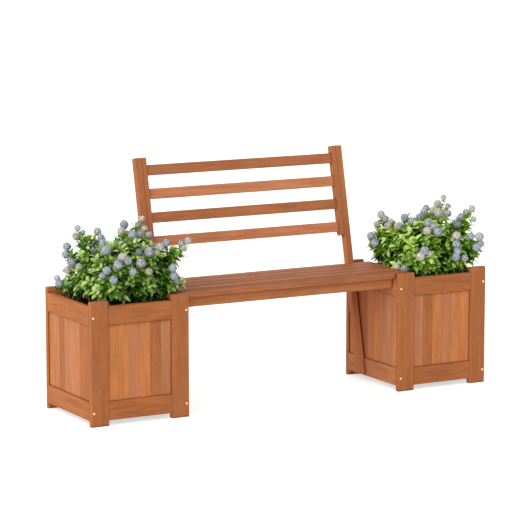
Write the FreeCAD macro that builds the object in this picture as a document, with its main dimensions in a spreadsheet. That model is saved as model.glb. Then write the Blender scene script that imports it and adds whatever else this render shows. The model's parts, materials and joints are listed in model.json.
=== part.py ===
import FreeCAD, Part
import math
import os
import re

# Garden bench whose seat spans two square timber planters, with a raked slatted back.
# X runs along the bench, +Y goes to the back and Z is up. The two ends are mirror images,
# so a place along X is given as its distance from the middle, and "inner" faces the seat.

# Driving sizes in millimetres, and angles in degrees
SIZES = {
    # Planter box
    "planter_width": 350,
    "planter_depth": 350,
    "post_height": 406,
    "post_width": 62,
    "timber": 18,
    "rail_height": 61,
    "foot_height": 18,
    "edge_chamfer": 1.2,
    "joint_clearance": 0.15,
    "tenon_length": 12,
    "tenon_thickness": 8,
    "tenon_shoulder": 9,
    # Boards held in the grooves of the rails
    "board_width": 38,
    "board_thickness": 10,
    "board_gap": 0.2,
    "board_chamfer": 0.4,
    "board_recess": 5,
    "groove_depth": 8,
    # Planter floor and what grows on it
    "cleat_size": 18,
    "floor_slat_width": 48,
    "floor_slat_gap": 14,
    "floor_slat_thickness": 12,
    "soil_clearance": 5,
    "soil_below_rim": 60,
    "foliage_clearance": 4,
    "foliage_rise": 136,
    "foliage_inset": 31,
    "foliage_side_inset": 43,
    "foliage_shift": 28,
    "foliage_corner_radius": 76,
    "foliage_neck_radius": 45,
    "flower_head_radius": 17,
    "flower_head_variation": 2.5,
    "flower_head_clearance": 0.3,
    # Seat
    "seat_span": 800,
    "seat_slat_width": 49,
    "seat_slat_gap": 5,
    "seat_slat_thickness": 18,
    "seat_slat_chamfer": 1,
    "seat_lap": 55,
    "seat_clearance": 3,
    "apron_height": 35,
    "apron_setback": 22,
    "apron_end_clearance": 0.3,
    "rear_apron_clearance": 4,
    "housing_depth": 6,
    # Back
    "rake": 12.5,
    "back_post_width": 24,
    "back_post_depth": 25,
    "back_post_length": 799,
    "back_post_lift": 26,
    "back_post_gap": 12.5,
    "stile_width": 18,
    "stile_tail": 13,
    "back_slat_height": 35,
    "back_slat_thickness": 15,
    "back_slat_gap": 45,
    "back_top_margin": 25,
    "back_slat_housing": 8,
    # Screws and bolts
    "screw_radius": 2,
    "screw_head_radius": 4.5,
    "screw_head_top_radius": 2.8,
    "screw_head_height": 2.4,
    "screw_clearance": 0.2,
    "screw_grip": 27,
    "short_screw_grip": 13,
    "screw_sink": 3,
    "screw_drop": 4,
    "leg_bolt_height": 43,
    "bolt_radius": 3,
    "bolt_clearance": 0.3,
    "bolt_head_radius": 7,
    "bolt_head_top_radius": 3.5,
    "bolt_head_height": 3.2,
    "bolt_bite": 15,
}

# Counts that no length decides
SEAT_SLATS = 5
BEARERS = 4
BACK_SLATS = 4
FLOWER_HEADS = 29

# Degrees above the level at which the lowest flower heads point from the middle of the rim
LOWEST_CLIMB = 38

# Outline of the crown seen from the side: share of its height, and share of its full width there
CROWN_PROFILE = ((0.12, 0.97), (0.35, 1.0), (0.56, 0.93), (0.76, 0.82), (0.9, 0.65), (1.0, 0.4))

# Sizes that follow from the driving ones
DERIVED = {
    "half_span": "seat_span / 2",
    "rail_top": "post_height - seat_slat_thickness",
    "top_rail_z": "rail_top - rail_height",
    "clear_front": "planter_width - 2 * post_width",
    "clear_side": "planter_depth - 2 * timber",
    "board_bottom": "foot_height + rail_height - groove_depth + joint_clearance",
    "board_height": "top_rail_z + groove_depth - joint_clearance - board_bottom",
    "hole_radius": "screw_radius + screw_clearance",
    "bolt_hole_radius": "bolt_radius + bolt_clearance",
    "sink_radius": "screw_head_radius + screw_clearance",
    "screw_level": "rail_height / 2 - screw_drop",
    "floor_z": "foot_height + cleat_size",
    "soil_z": "floor_z + floor_slat_thickness",
    "soil_top": "post_height - soil_below_rim",
    "seat_front": "timber + seat_clearance",
    "seat_pitch": "seat_slat_width + seat_slat_gap",
    "seat_back": "seat_front + %d * seat_pitch - seat_slat_gap" % SEAT_SLATS,
    "apron_z": "rail_top - apron_height",
    "front_apron_y": "seat_front + apron_setback",
    "back_foot_y": "seat_back + back_post_gap - (post_height - back_post_lift) * tan(rake * 1 deg)",
    "post_face_at_apron": "back_foot_y + (apron_z - back_post_lift) * tan(rake * 1 deg)",
    "rear_apron_y": "post_face_at_apron - rear_apron_clearance - timber",
    "bearer_y": "front_apron_y + timber - housing_depth",
    "bearer_length": "rear_apron_y - front_apron_y - timber + 2 * housing_depth",
    "bearer_pitch": "(seat_span - 2 * apron_end_clearance - timber) / %d" % (BEARERS - 1),
    "back_slat_pitch": "back_slat_height + back_slat_gap",
    "stile_length": "back_top_margin + %d * back_slat_pitch - back_slat_gap + stile_tail" % BACK_SLATS,
    "stile_u": "half_span - back_post_width - stile_width",
    "back_post_rise": "back_post_length - edge_chamfer",
    "back_reach": "back_foot_y + back_post_rise * sin(rake * 1 deg) + back_post_depth * cos(rake * 1 deg)",
    "origin_y": "(back_reach - screw_head_height) / 2",
}

SIDES = {"left": -1, "right": 1}
EDGES_ALONG = {
    "x": ["Edge9", "Edge10", "Edge11", "Edge12"],
    "y": ["Edge2", "Edge4", "Edge6", "Edge8"],
    "z": ["Edge1", "Edge3", "Edge5", "Edge7"],
}
ALL_EDGES = EDGES_ALONG["x"] + EDGES_ALONG["y"] + EDGES_ALONG["z"]
TURNS = {
    "+x": FreeCAD.Rotation(FreeCAD.Vector(0, 1, 0), 90),
    "-x": FreeCAD.Rotation(FreeCAD.Vector(0, 1, 0), -90),
    "+y": FreeCAD.Rotation(FreeCAD.Vector(1, 0, 0), -90),
    "-y": FreeCAD.Rotation(FreeCAD.Vector(1, 0, 0), 90),
    "+z": FreeCAD.Rotation(),
    "-z": FreeCAD.Rotation(FreeCAD.Vector(1, 0, 0), 180),
}
OPPOSITE = {"+x": "-x", "-x": "+x", "+y": "-y", "-y": "+y", "+z": "-z"}

doc = FreeCAD.newDocument("PlanterBench")
sheet = doc.addObject("Spreadsheet::Sheet", "Sizes")
subparts = []


def fill_sheet():
    """Write each driving size to the sheet as plain text, with its name as the alias."""
    for row, (name, size) in enumerate(SIZES.items(), start=1):
        sheet.set("A%d" % row, name)
        sheet.set("B%d" % row, str(size))
        sheet.setAlias("B%d" % row, name)
    doc.recompute()


def formula(text):
    """Turn a formula in the names of SIZES and DERIVED into an expression on the sheet."""
    text = str(text)
    while any(word in DERIVED for word in re.findall(r"[a-z_]+", text)):
        text = re.sub(
            r"[a-z_]+",
            lambda word: "(%s)" % DERIVED[word.group()] if word.group() in DERIVED else word.group(),
            text,
        )
    return re.sub(
        r"[a-z_]+",
        lambda word: "Sizes." + word.group() if word.group() in SIZES else word.group(),
        text,
    )


def value(text):
    """The number that a formula gives for the present sizes."""
    return float(sheet.evalExpression(formula(text)))


def bind(thing, **formulas):
    """Bind properties of an object to formulas."""
    for name, text in formulas.items():
        thing.setExpression(name, formula(text))


def move(thing, x, y, z, turn=None):
    """Bind an object's place to formulas, after turning it where a rotation is given."""
    if turn is not None:
        thing.Placement = FreeCAD.Placement(FreeCAD.Vector(), turn)
    thing.setExpression("Placement.Base.x", formula(x))
    thing.setExpression("Placement.Base.y", formula(y))
    thing.setExpression("Placement.Base.z", formula(z))


def lean(thing, u, back, up):
    """Set an object in the raked plane of the back: up along the posts, back behind their faces."""
    thing.Placement = FreeCAD.Placement(FreeCAD.Vector(), FreeCAD.Rotation(FreeCAD.Vector(1, 0, 0), -1))
    thing.setExpression("Placement.Rotation.Angle", formula("-rake * 1 deg"))
    thing.setExpression("Placement.Base.x", formula(u))
    thing.setExpression("Placement.Base.y", formula(lean_y(up, back) + " - origin_y"))
    thing.setExpression("Placement.Base.z", formula(lean_z(up, back)))


def lean_y(up, back):
    """Formula of the Y of a point that lies up along the back posts and back from their faces."""
    return "back_foot_y + (%s) * sin(rake * 1 deg) + (%s) * cos(rake * 1 deg)" % (up, back)


def lean_z(up, back):
    """Formula of the height of such a point."""
    return "back_post_lift + (%s) * cos(rake * 1 deg) - (%s) * sin(rake * 1 deg)" % (up, back)


def mirrored(side, start, length):
    """Formula of a piece's low X from its distance to the middle, on either side."""
    if side > 0:
        return "(%s)" % start
    return "-((%s) + (%s))" % (start, length)


def keep(thing, label):
    """Name an object and list it as a sub-part."""
    thing.Label = label
    subparts.append(thing)
    return thing


class Stick:
    """A piece of planed timber: a box whose inner end is at its own X of 0 before mirroring."""

    def __init__(self, label, side, size, chamfer="edge_chamfer", edges=ALL_EDGES):
        self.side = side
        self.size = size
        self.body = keep(doc.addObject("PartDesign::Body", label), label)
        self.blank = self.feature("PartDesign::AdditiveBox", "Blank")
        bind(self.blank, Length=size[0], Width=size[1], Height=size[2])
        self.ease = self.feature("PartDesign::Chamfer", "EasedEdges")
        self.ease.Base = (self.blank, edges)
        bind(self.ease, Size=chamfer)

    def feature(self, kind, name):
        """Add a feature to the stick's body."""
        made = doc.addObject(kind, "%s_%s" % (self.body.Name, name))
        self.body.addObject(made)
        return made

    def local_x(self, start, length):
        """Formula of a feature's low X on the stick, mirrored on the left side."""
        if self.side > 0:
            return "(%s)" % start
        return "(%s) - (%s) - (%s)" % (self.size[0], start, length)

    def box(self, kind, name, size, x, y, z):
        """Add or cut a box."""
        made = self.feature("PartDesign::%sBox" % kind, name)
        bind(made, Length=size[0], Width=size[1], Height=size[2])
        move(made, self.local_x(x, size[0]), y, z)

    def tenon(self, size, x, y, z):
        """Add a box that runs past both ends of the stick."""
        self.box("Additive", "Tenon", size, x, y, z)

    def cut(self, name, size, x, y, z):
        """Cut a mortise, groove or housing."""
        self.box("Subtractive", name, size, x, y, z)

    def drill(self, name, radius, length, toward, x, y, z):
        """Drill a round hole from a point towards +x, -x, +y or +z, as seen on the right side."""
        hole = self.feature("PartDesign::SubtractiveCylinder", name)
        bind(hole, Radius=radius, Height=length)
        if self.side < 0 and toward[1] == "x":
            toward = OPPOSITE[toward]
        move(hole, self.local_x(x, "0"), y, z, TURNS[toward])

    def place(self, u, y, z):
        """Set the stick by the distance of its inner end from the middle."""
        move(self.body, mirrored(self.side, u, self.size[0]), "%s - origin_y" % y, z)

    def place_leaning(self, u, back, up):
        """Set the stick in the raked plane of the back."""
        lean(self.body, mirrored(self.side, u, self.size[0]), back, up)


def group(label, solids):
    """Gather separate solids in one sub-part."""
    gathered = doc.addObject("Part::Compound", label)
    gathered.Links = solids
    return keep(gathered, label)


def plain_box(name, size, x, y, z):
    """A box of its own, outside any body, for a group of like pieces."""
    made = doc.addObject("Part::Box", name)
    bind(made, Length=size[0], Width=size[1], Height=size[2])
    move(made, x, "%s - origin_y" % y, z)
    return made


def pin(name, radius, length, toward, x, y, z):
    """A plain round pin that starts at the given point."""
    made = doc.addObject("Part::Cylinder", name)
    bind(made, Radius=radius, Height=length)
    move(made, x, "%s - origin_y" % y, z, TURNS[toward])
    return made


def screw(name, length, toward, x, y, z):
    """A pan-head screw whose head stands on the surface at the given point."""
    shank = pin(name + "_shank", "screw_radius", length, toward, x, y, z)
    head = doc.addObject("Part::Cone", name + "_head")
    bind(head, Radius1="screw_head_radius", Radius2="screw_head_top_radius", Height="screw_head_height")
    move(head, x, "%s - origin_y" % y, z, TURNS[OPPOSITE[toward]])
    joined = doc.addObject("Part::Fuse", name)
    joined.Base = shank
    joined.Tool = head
    return joined


def bolt(name, side, y, z):
    """A bolt from inside the planter through its rail, which ends out of sight in the leg."""
    into = "-x" if side > 0 else "+x"
    inside = mirrored(side, "half_span + timber", "0")
    head = doc.addObject("Part::Cone", name + "_head")
    bind(head, Radius1="bolt_head_radius", Radius2="bolt_head_top_radius", Height="bolt_head_height")
    move(head, inside, "%s - origin_y" % y, z, TURNS[OPPOSITE[into]])
    joined = doc.addObject("Part::Fuse", name)
    joined.Base = pin(name + "_shank", "bolt_radius", "timber + bolt_bite", into, inside, y, z)
    joined.Tool = head
    return joined


def levels():
    """The two rails of a panel: name, height of the underside, and height of the groove in it."""
    return (
        ("top", "top_rail_z", "0"),
        ("bottom", "foot_height", "rail_height - groove_depth"),
    )


def end_frame(name, side, face):
    """Front or back face of a planter: two posts that stand on the ground, and two rails between."""
    y = "0" if face == "front" else "planter_depth - timber"
    recess = "board_recess" if face == "front" else "timber - board_recess - board_thickness"
    tenon_y = "(timber - tenon_thickness) / 2"
    mortise = (
        "tenon_length + joint_clearance",
        "tenon_thickness + 2 * joint_clearance",
        "rail_height - 2 * tenon_shoulder + 2 * joint_clearance",
    )
    for place, u, mortise_x, screw_x in (
        ("inner", "half_span", "post_width - tenon_length - joint_clearance", "timber / 2"),
        ("outer", "half_span + planter_width - post_width", "0", "post_width - timber / 2"),
    ):
        size = ("post_width", "timber", "post_height")
        post = Stick("%s_%s_%s_post" % (name, face, place), side, size)
        for level, z, groove_z in levels():
            post.cut("Mortise_" + level, mortise, mortise_x, tenon_y + " - joint_clearance",
                     z + " + tenon_shoulder - joint_clearance")
            post.drill("Screw_" + level, "hole_radius", "timber", "+y", screw_x, "0",
                       z + " + screw_level")
        post.place(u, y, "0")
    for level, z, groove_z in levels():
        size = ("clear_front", "timber", "rail_height")
        rail = Stick("%s_%s_%s_rail" % (name, face, level), side, size, edges=EDGES_ALONG["x"])
        rail.tenon(("clear_front + 2 * tenon_length", "tenon_thickness", "rail_height - 2 * tenon_shoulder"),
                   "-tenon_length", tenon_y, "tenon_shoulder")
        rail.cut("Groove", ("clear_front", "board_thickness + 2 * joint_clearance", "groove_depth"),
                 "0", recess + " - joint_clearance", groove_z)
        rail.place("half_span + post_width", y, z)
    boards(name, face, side, "half_span + post_width", "%s + %s" % (y, recess), "clear_front", "x")


def side_panel(name, side, place):
    """Inner or outer side of a planter: two rails screwed between the end frames, and boards."""
    u = "half_span" if place == "inner" else "half_span + planter_width - timber"
    recess = "board_recess" if place == "inner" else "timber - board_recess - board_thickness"
    for level, z, groove_z in levels():
        size = ("timber", "clear_side", "rail_height")
        rail = Stick("%s_%s_%s_rail" % (name, place, level), side, size, edges=EDGES_ALONG["y"])
        rail.cut("Groove", ("board_thickness + 2 * joint_clearance", "clear_side", "groove_depth"),
                 recess + " - joint_clearance", "0", groove_z)
        rail.drill("Front_screw", "hole_radius", "screw_grip + screw_clearance", "+y",
                   "timber / 2", "0", "screw_level")
        rail.drill("Back_screw", "hole_radius", "screw_grip + screw_clearance", "-y",
                   "timber / 2", "clear_side", "screw_level")
        if place == "inner":
            rail.drill("Leg_bolt", "bolt_hole_radius", "timber", "+x", "0",
                       "%s - timber" % leg_bolt_y(z), "leg_bolt_height")
        if place == "inner" and level == "top":
            for number, screw_y in enumerate(bearer_screw_places()):
                rail.drill("Bearer_screw_%d" % number, "hole_radius", "short_screw_grip + screw_clearance",
                           "+x", "0", screw_y + " - timber", "rail_height - apron_height / 2")
        rail.place(u, "timber", z)
    boards(name, place, side, "%s + %s" % (u, recess), "timber", "clear_side", "y")


def boards(name, face, side, start, y, clear, along):
    """The row of upright boards of one face, each housed in the grooves of both rails."""
    count = int(round(value(clear) / value("board_width")))
    pitch = "(%s) / %d" % (clear, count)
    row = []
    for number in range(count):
        board_name = "%s_%s_board_%d" % (name, face, number)
        offset = "%d * %s + board_gap / 2" % (number, pitch)
        if along == "x":
            size = (pitch + " - board_gap", "board_thickness", "board_height")
            x = mirrored(side, "%s + %s" % (start, offset), size[0])
            board = plain_box(board_name, size, x, y, "board_bottom")
        else:
            size = ("board_thickness", pitch + " - board_gap", "board_height")
            x = mirrored(side, start, size[0])
            board = plain_box(board_name, size, x, "%s + %s" % (y, offset), "board_bottom")
        eased = doc.addObject("Part::Chamfer", board_name + "_eased")
        eased.Base = board
        width = value("board_chamfer")
        eased.Edges = [(int(edge[4:]), width, width) for edge in EDGES_ALONG["z"]]
        row.append(eased)
    group("%s_%s_boards" % (name, face), row)


def planter_floor(name, side):
    """Slats with drain gaps between them, laid across the planter on two cleats."""
    inside = "planter_width - 2 * timber - 2 * joint_clearance"
    count = int(value("clear_side + floor_slat_gap") / value("floor_slat_width + floor_slat_gap"))
    spare = "(clear_side - %d * floor_slat_width - %d * floor_slat_gap) / 2" % (count, count - 1)
    slats = []
    for number in range(count):
        y = "timber + %s + %d * (floor_slat_width + floor_slat_gap)" % (spare, number)
        x = mirrored(side, "half_span + timber + joint_clearance", inside)
        size = (inside, "floor_slat_width", "floor_slat_thickness")
        slats.append(plain_box("%s_floor_slat_%d" % (name, number), size, x, y, "floor_z"))
    group(name + "_floor_slats", slats)


def floor_cleats():
    """Square strips on the inner faces of the bottom rails, two in each planter."""
    cleats = []
    for name, side in SIDES.items():
        for place, u in (("inner", "half_span + timber"),
                         ("outer", "half_span + planter_width - timber - cleat_size")):
            size = ("cleat_size", "clear_side - 2 * joint_clearance", "cleat_size")
            x = mirrored(side, u, size[0])
            cleats.append(plain_box("%s_%s_cleat" % (name, place), size, x, "timber + joint_clearance",
                                    "foot_height"))
    group("floor_cleats", cleats)


def soil(name, side):
    """The block of earth that fills the planter to below its rim."""
    size = (
        "planter_width - 2 * timber - 2 * soil_clearance",
        "clear_side - 2 * soil_clearance",
        "soil_top - soil_z",
    )
    block = Stick(name + "_soil", side, size, chamfer="soil_clearance", edges=EDGES_ALONG["z"])
    block.place("half_span + timber + soil_clearance", "timber + soil_clearance", "soil_z")


def rounded_rectangle(low, high, corner, z):
    """A level outline with four quarter-circle corners."""
    bends = []
    for x, y, first in ((high[0] - corner, high[1] - corner, 0), (low[0] + corner, high[1] - corner, 90),
                        (low[0] + corner, low[1] + corner, 180), (high[0] - corner, low[1] + corner, 270)):
        points = []
        for angle in (first, first + 45, first + 90):
            points.append(FreeCAD.Vector(x + corner * math.cos(math.radians(angle)),
                                         y + corner * math.sin(math.radians(angle)), z))
        bends.append(points)
    edges = []
    for number, points in enumerate(bends):
        edges.append(Part.Arc(*points).toShape())
        edges.append(Part.makeLine(points[2], bends[(number + 1) % 4][0]))
    return Part.Wire(edges)


def crown_shape(side):
    """A planter's leafy mass: a neck that stands on the soil, and a crown over the rim that leans to +X."""
    gap = value("foliage_clearance")
    corner = value("foliage_corner_radius")
    rim = value("post_height") + gap
    neck_sides = sorted((side * (value("half_span + seat_lap") + gap),
                         side * (value("half_span + planter_width - timber") - gap)))
    neck_low = (neck_sides[0], value("timber") + gap)
    neck_high = (neck_sides[1], value("planter_depth - timber") - gap)
    sections = []
    for z in (value("soil_top"), rim):
        sections.append(rounded_rectangle(neck_low, neck_high, value("foliage_neck_radius"), z))
    middle = side * value("half_span + planter_width / 2") + value("foliage_shift")
    across = value("planter_depth / 2")
    half_width = value("planter_width / 2 - foliage_side_inset")
    half_depth = value("planter_depth / 2 - foliage_inset")
    for share, spread in CROWN_PROFILE:
        low = (middle - spread * half_width, across - spread * half_depth)
        high = (middle + spread * half_width, across + spread * half_depth)
        sections.append(rounded_rectangle(low, high, spread * corner, rim + share * value("foliage_rise")))
    return Part.makeLoft(sections, True, True)


def heads_shape(side, crown):
    """Round flower heads that sit on the crown, spread by the golden angle, where there is room for each."""
    centre = FreeCAD.Vector(side * value("half_span + planter_width / 2") + value("foliage_shift"),
                            value("planter_depth / 2"), value("post_height"))
    far = value("planter_width + planter_depth")
    golden = math.pi * (3 - math.sqrt(5))
    lowest = math.sin(math.radians(LOWEST_CLIMB))
    heads = []
    for number in range(FLOWER_HEADS):
        climb = math.asin(lowest + (1 - lowest) * (number + 0.5) / FLOWER_HEADS)
        outward = FreeCAD.Vector(math.cos(climb) * math.cos(number * golden),
                                 math.cos(climb) * math.sin(number * golden), math.sin(climb))
        from_afar = centre + outward * far
        foot = crown.distToShape(Part.Vertex(from_afar))[1][0][0]
        radius = value("flower_head_radius") + (number % 3 - 1) * value("flower_head_variation")
        away = (from_afar - foot).normalize()
        gap = value("flower_head_clearance")
        place = foot + away * (radius + gap)
        if all((place - other).Length > radius + other_radius + gap for other, other_radius in heads):
            heads.append((place, radius))
    return Part.makeCompound([Part.makeSphere(radius, place) for place, radius in heads])


def plants():
    """The foliage and the flower heads of both planters."""
    for name, side in SIDES.items():
        crown = crown_shape(side)
        for kind, shape in (("foliage", crown), ("flower_heads", heads_shape(side, crown))):
            plant = doc.addObject("Part::Feature", "%s_%s" % (name, kind))
            plant.Shape = shape
            plant.Placement = FreeCAD.Placement(FreeCAD.Vector(0, -value("origin_y"), 0), FreeCAD.Rotation())
            keep(plant, "%s_%s" % (name, kind))


def leg_bolt_y(rail_z):
    """Formula of where the middle line of a raked leg passes a rail's bolt."""
    rise = "(%s + leg_bolt_height - back_post_lift)" % rail_z
    return "(back_foot_y + %s * tan(rake * 1 deg) + back_post_depth / 2 / cos(rake * 1 deg))" % rise


def leg_bolt_up(rail_z):
    """Formula of the same point's distance up the leg."""
    rise = "(%s + leg_bolt_height - back_post_lift)" % rail_z
    return "(%s / cos(rake * 1 deg) + back_post_depth / 2 * tan(rake * 1 deg))" % rise


def bearer_screw_places():
    """Formulas of the Y of the screws that hold the seat frame to the planters."""
    return ["seat_front + %d * seat_pitch - seat_slat_gap / 2" % number for number in (2, SEAT_SLATS - 2)]


def bearer_x(number):
    """Formula of the low X of a seat bearer, counted from the left."""
    return "-half_span + apron_end_clearance + %d * bearer_pitch" % number


def slat_middle(number):
    """Formula of the Y of a seat slat's middle line, counted from the front."""
    return "seat_front + %d * seat_pitch + seat_slat_width / 2" % number


def seat_screw_places():
    """Each screw under the seat: name, X, Y and the slat that it holds."""
    places = []
    for bay in range(BEARERS - 1):
        x = bearer_x(bay) + " + (bearer_pitch + timber) / 2"
        places.append(("front_%d" % bay, x, "front_apron_y + timber / 2", 0))
        places.append(("rear_%d" % bay, x, "rear_apron_y + timber / 2", SEAT_SLATS - 1))
    for slat in range(1, SEAT_SLATS - 1):
        for number in range(BEARERS):
            places.append(("bearer_%d_%d" % (slat, number), bearer_x(number) + " + timber / 2",
                           slat_middle(slat), slat))
    return places


def seat_slats():
    """The boards of the seat, which lie on the inner top rails of both planters."""
    length = "seat_span + 2 * seat_lap"
    for number in range(SEAT_SLATS):
        slat = Stick("seat_slat_%d" % (number + 1), 1, (length, "seat_slat_width", "seat_slat_thickness"),
                     chamfer="seat_slat_chamfer")
        y = "(seat_front + %d * seat_pitch)" % number
        for name, x, screw_y, held in seat_screw_places():
            if held == number:
                slat.drill("Screw_" + name, "hole_radius", "short_screw_grip + screw_clearance", "+z",
                           "%s + half_span + seat_lap" % x, "%s - %s" % (screw_y, y), "0")
        slat.place("-half_span - seat_lap", y, "rail_top")


def seat_frame():
    """Two aprons with the bearers housed between them, under the slats."""
    for name, y, housing_y in (("front_apron", "front_apron_y", "timber - housing_depth - joint_clearance"),
                               ("rear_apron", "rear_apron_y", "0")):
        length = "seat_span - 2 * apron_end_clearance"
        apron = Stick(name, 1, (length, "timber", "apron_height"), edges=EDGES_ALONG["x"])
        for number in range(BEARERS):
            apron.cut("Housing_%d" % number,
                      ("timber + 2 * joint_clearance", "housing_depth + joint_clearance", "apron_height"),
                      "%d * bearer_pitch - joint_clearance" % number, housing_y, "0")
        for place, x, screw_y, held in seat_screw_places():
            if place.startswith(name.split("_")[0]):
                drill_x = "%s + half_span - apron_end_clearance" % x
                apron.drill("Screw_" + place, "hole_radius", "apron_height", "+z", drill_x, "timber / 2", "0")
                apron.drill("Sink_" + place, "sink_radius", "screw_sink", "+z", drill_x, "timber / 2", "0")
        apron.place("-half_span + apron_end_clearance", y, "apron_z")
    bearers = []
    for number in range(BEARERS):
        bearers.append(bearer(number))
    group("seat_bearers", bearers)


def bearer(number):
    """One cross bar of the seat frame, with its screw holes."""
    blank = plain_box("bearer_%d" % number, ("timber", "bearer_length", "apron_height"),
                      bearer_x(number), "bearer_y", "apron_z")
    holes = []
    for slat in range(1, SEAT_SLATS - 1):
        for kind, radius, depth in (("hole", "hole_radius", "apron_height"),
                                    ("sink", "sink_radius", "screw_sink")):
            holes.append(pin("bearer_%d_%s_%d" % (number, kind, slat), radius, depth, "+z",
                             bearer_x(number) + " + timber / 2", slat_middle(slat), "apron_z"))
    if number in (0, BEARERS - 1):
        for place, screw_y in enumerate(bearer_screw_places()):
            hole = doc.addObject("Part::Cylinder", "bearer_%d_side_hole_%d" % (number, place))
            bind(hole, Radius="hole_radius", Height="timber")
            move(hole, bearer_x(number), screw_y + " - origin_y", "rail_top - apron_height / 2", TURNS["+x"])
            holes.append(hole)
    drilled = doc.addObject("Part::Cut", "bearer_%d_drilled" % number)
    drilled.Base = blank
    drilled.Tool = doc.addObject("Part::MultiFuse", "bearer_%d_holes" % number)
    drilled.Tool.Shapes = holes
    return drilled


def stile_pin_ups():
    """Formulas of how far up the stile its pins stand: at the middle of each gap between slats."""
    return ["stile_tail + back_slat_height + %d * back_slat_pitch + back_slat_gap / 2" % number
            for number in range(BACK_SLATS - 1)]


def back_frame():
    """Two raked posts that run down to the planters' bottom rails, and the slatted panel between."""
    for name, side in SIDES.items():
        post = Stick(name + "_back_post", side, ("back_post_width", "back_post_depth", "back_post_length"))
        for level, z, groove_z in levels():
            post.drill("Bolt_" + level, "bolt_hole_radius", "bolt_bite + bolt_clearance", "-x",
                       "back_post_width", "back_post_depth / 2", leg_bolt_up(z))
        for number, up in enumerate(stile_pin_ups()):
            post.drill("Pin_%d" % number, "hole_radius", "short_screw_grip + screw_clearance", "+x",
                       "0", "back_post_depth / 2", "back_post_length - stile_length + " + up)
        post.place_leaning("half_span - back_post_width", "0", "0")
        stile = Stick(name + "_back_stile", side, ("stile_width", "back_post_depth", "stile_length"))
        for number in range(BACK_SLATS):
            stile.cut("Mortise_%d" % number,
                      ("back_slat_housing + joint_clearance", "back_slat_thickness + 2 * joint_clearance",
                       "back_slat_height + 2 * joint_clearance"),
                      "0", "(back_post_depth - back_slat_thickness) / 2 - joint_clearance",
                      "stile_tail + %d * back_slat_pitch - joint_clearance" % number)
        for number, up in enumerate(stile_pin_ups()):
            stile.drill("Pin_%d" % number, "hole_radius", "short_screw_grip + screw_clearance", "-x",
                        "stile_width", "back_post_depth / 2", up)
        stile.place_leaning("stile_u", "0", "back_post_length - stile_length")
    for number in range(BACK_SLATS):
        size = ("2 * stile_u + 2 * back_slat_housing", "back_slat_thickness", "back_slat_height")
        slat = Stick("back_slat_%d" % (number + 1), 1, size)
        slat.place_leaning("-stile_u - back_slat_housing", "(back_post_depth - back_slat_thickness) / 2",
                           "back_post_length - back_top_margin - back_slat_height - %d * back_slat_pitch"
                           % number)


def planter_screws():
    """Screws through the posts into the ends of the side rails, heads outside."""
    screws = []
    for name, side in SIDES.items():
        for place, u in (("inner", "half_span + timber / 2"),
                         ("outer", "half_span + planter_width - timber / 2")):
            for face, y, toward in (("front", "0", "+y"), ("back", "planter_depth", "-y")):
                for level, z, groove_z in levels():
                    screws.append(screw("planter_screw_%s_%s_%s_%s" % (name, face, place, level),
                                        "timber + screw_grip", toward, mirrored(side, u, "0"), y,
                                        z + " + screw_level"))
    group("planter_screws", screws)


def hidden_screws():
    """Screws of the seat frame, from below and from its ends, and the pins inside the back stiles."""
    screws = []
    for place, x, y, held in seat_screw_places():
        screws.append(screw("seat_screw_" + place, "apron_height + short_screw_grip - screw_sink", "+z",
                            x, y, "apron_z + screw_sink"))
    for name, side in SIDES.items():
        toward = "+x" if side > 0 else "-x"
        start = "half_span - apron_end_clearance - timber"
        for number, y in enumerate(bearer_screw_places()):
            screws.append(screw("frame_screw_%s_%d" % (name, number),
                                "timber + apron_end_clearance + short_screw_grip", toward,
                                mirrored(side, start, "0"), y, "rail_top - apron_height / 2"))
        for number, up in enumerate(stile_pin_ups()):
            up_post = "back_post_length - stile_length + " + up
            screws.append(pin("stile_pin_%s_%d" % (name, number), "screw_radius", "2 * short_screw_grip",
                              toward, mirrored(side, "stile_u + stile_width - short_screw_grip", "0"),
                              lean_y(up_post, "back_post_depth / 2"),
                              lean_z(up_post, "back_post_depth / 2")))
    group("frame_screws", screws)


def leg_bolts():
    """Bolts that hold each raked leg to both rails of its planter, from inside."""
    bolts = []
    for name, side in SIDES.items():
        for level, z, groove_z in levels():
            bolts.append(bolt("leg_bolt_%s_%s" % (name, level), side, leg_bolt_y(z),
                              z + " + leg_bolt_height"))
    group("leg_bolts", bolts)


def check_model():
    """Stop if any object failed, or a sub-part has no sound shape."""
    for thing in doc.Objects:
        if "Invalid" in thing.State or "Error" in thing.State:
            raise RuntimeError("%s is %s" % (thing.Name, thing.State))
    for thing in subparts:
        if thing.Shape.isNull() or not thing.Shape.isValid() or not thing.Shape.Solids:
            raise RuntimeError("%s has no valid shape" % thing.Label)


def main():
    """Build the bench and write one file for each sub-part."""
    fill_sheet()
    for name, side in SIDES.items():
        end_frame(name, side, "front")
        end_frame(name, side, "back")
        side_panel(name, side, "inner")
        side_panel(name, side, "outer")
        planter_floor(name, side)
        soil(name, side)
    plants()
    floor_cleats()
    seat_slats()
    seat_frame()
    back_frame()
    planter_screws()
    hidden_screws()
    leg_bolts()
    doc.recompute()
    check_model()
    os.makedirs("parts", exist_ok=True)
    for thing in subparts:
        thing.Shape.exportStep("parts/%s.step" % thing.Label)
    print("%d sub-parts, %d solids" % (len(subparts), sum(len(thing.Shape.Solids) for thing in subparts)))


main()
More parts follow.
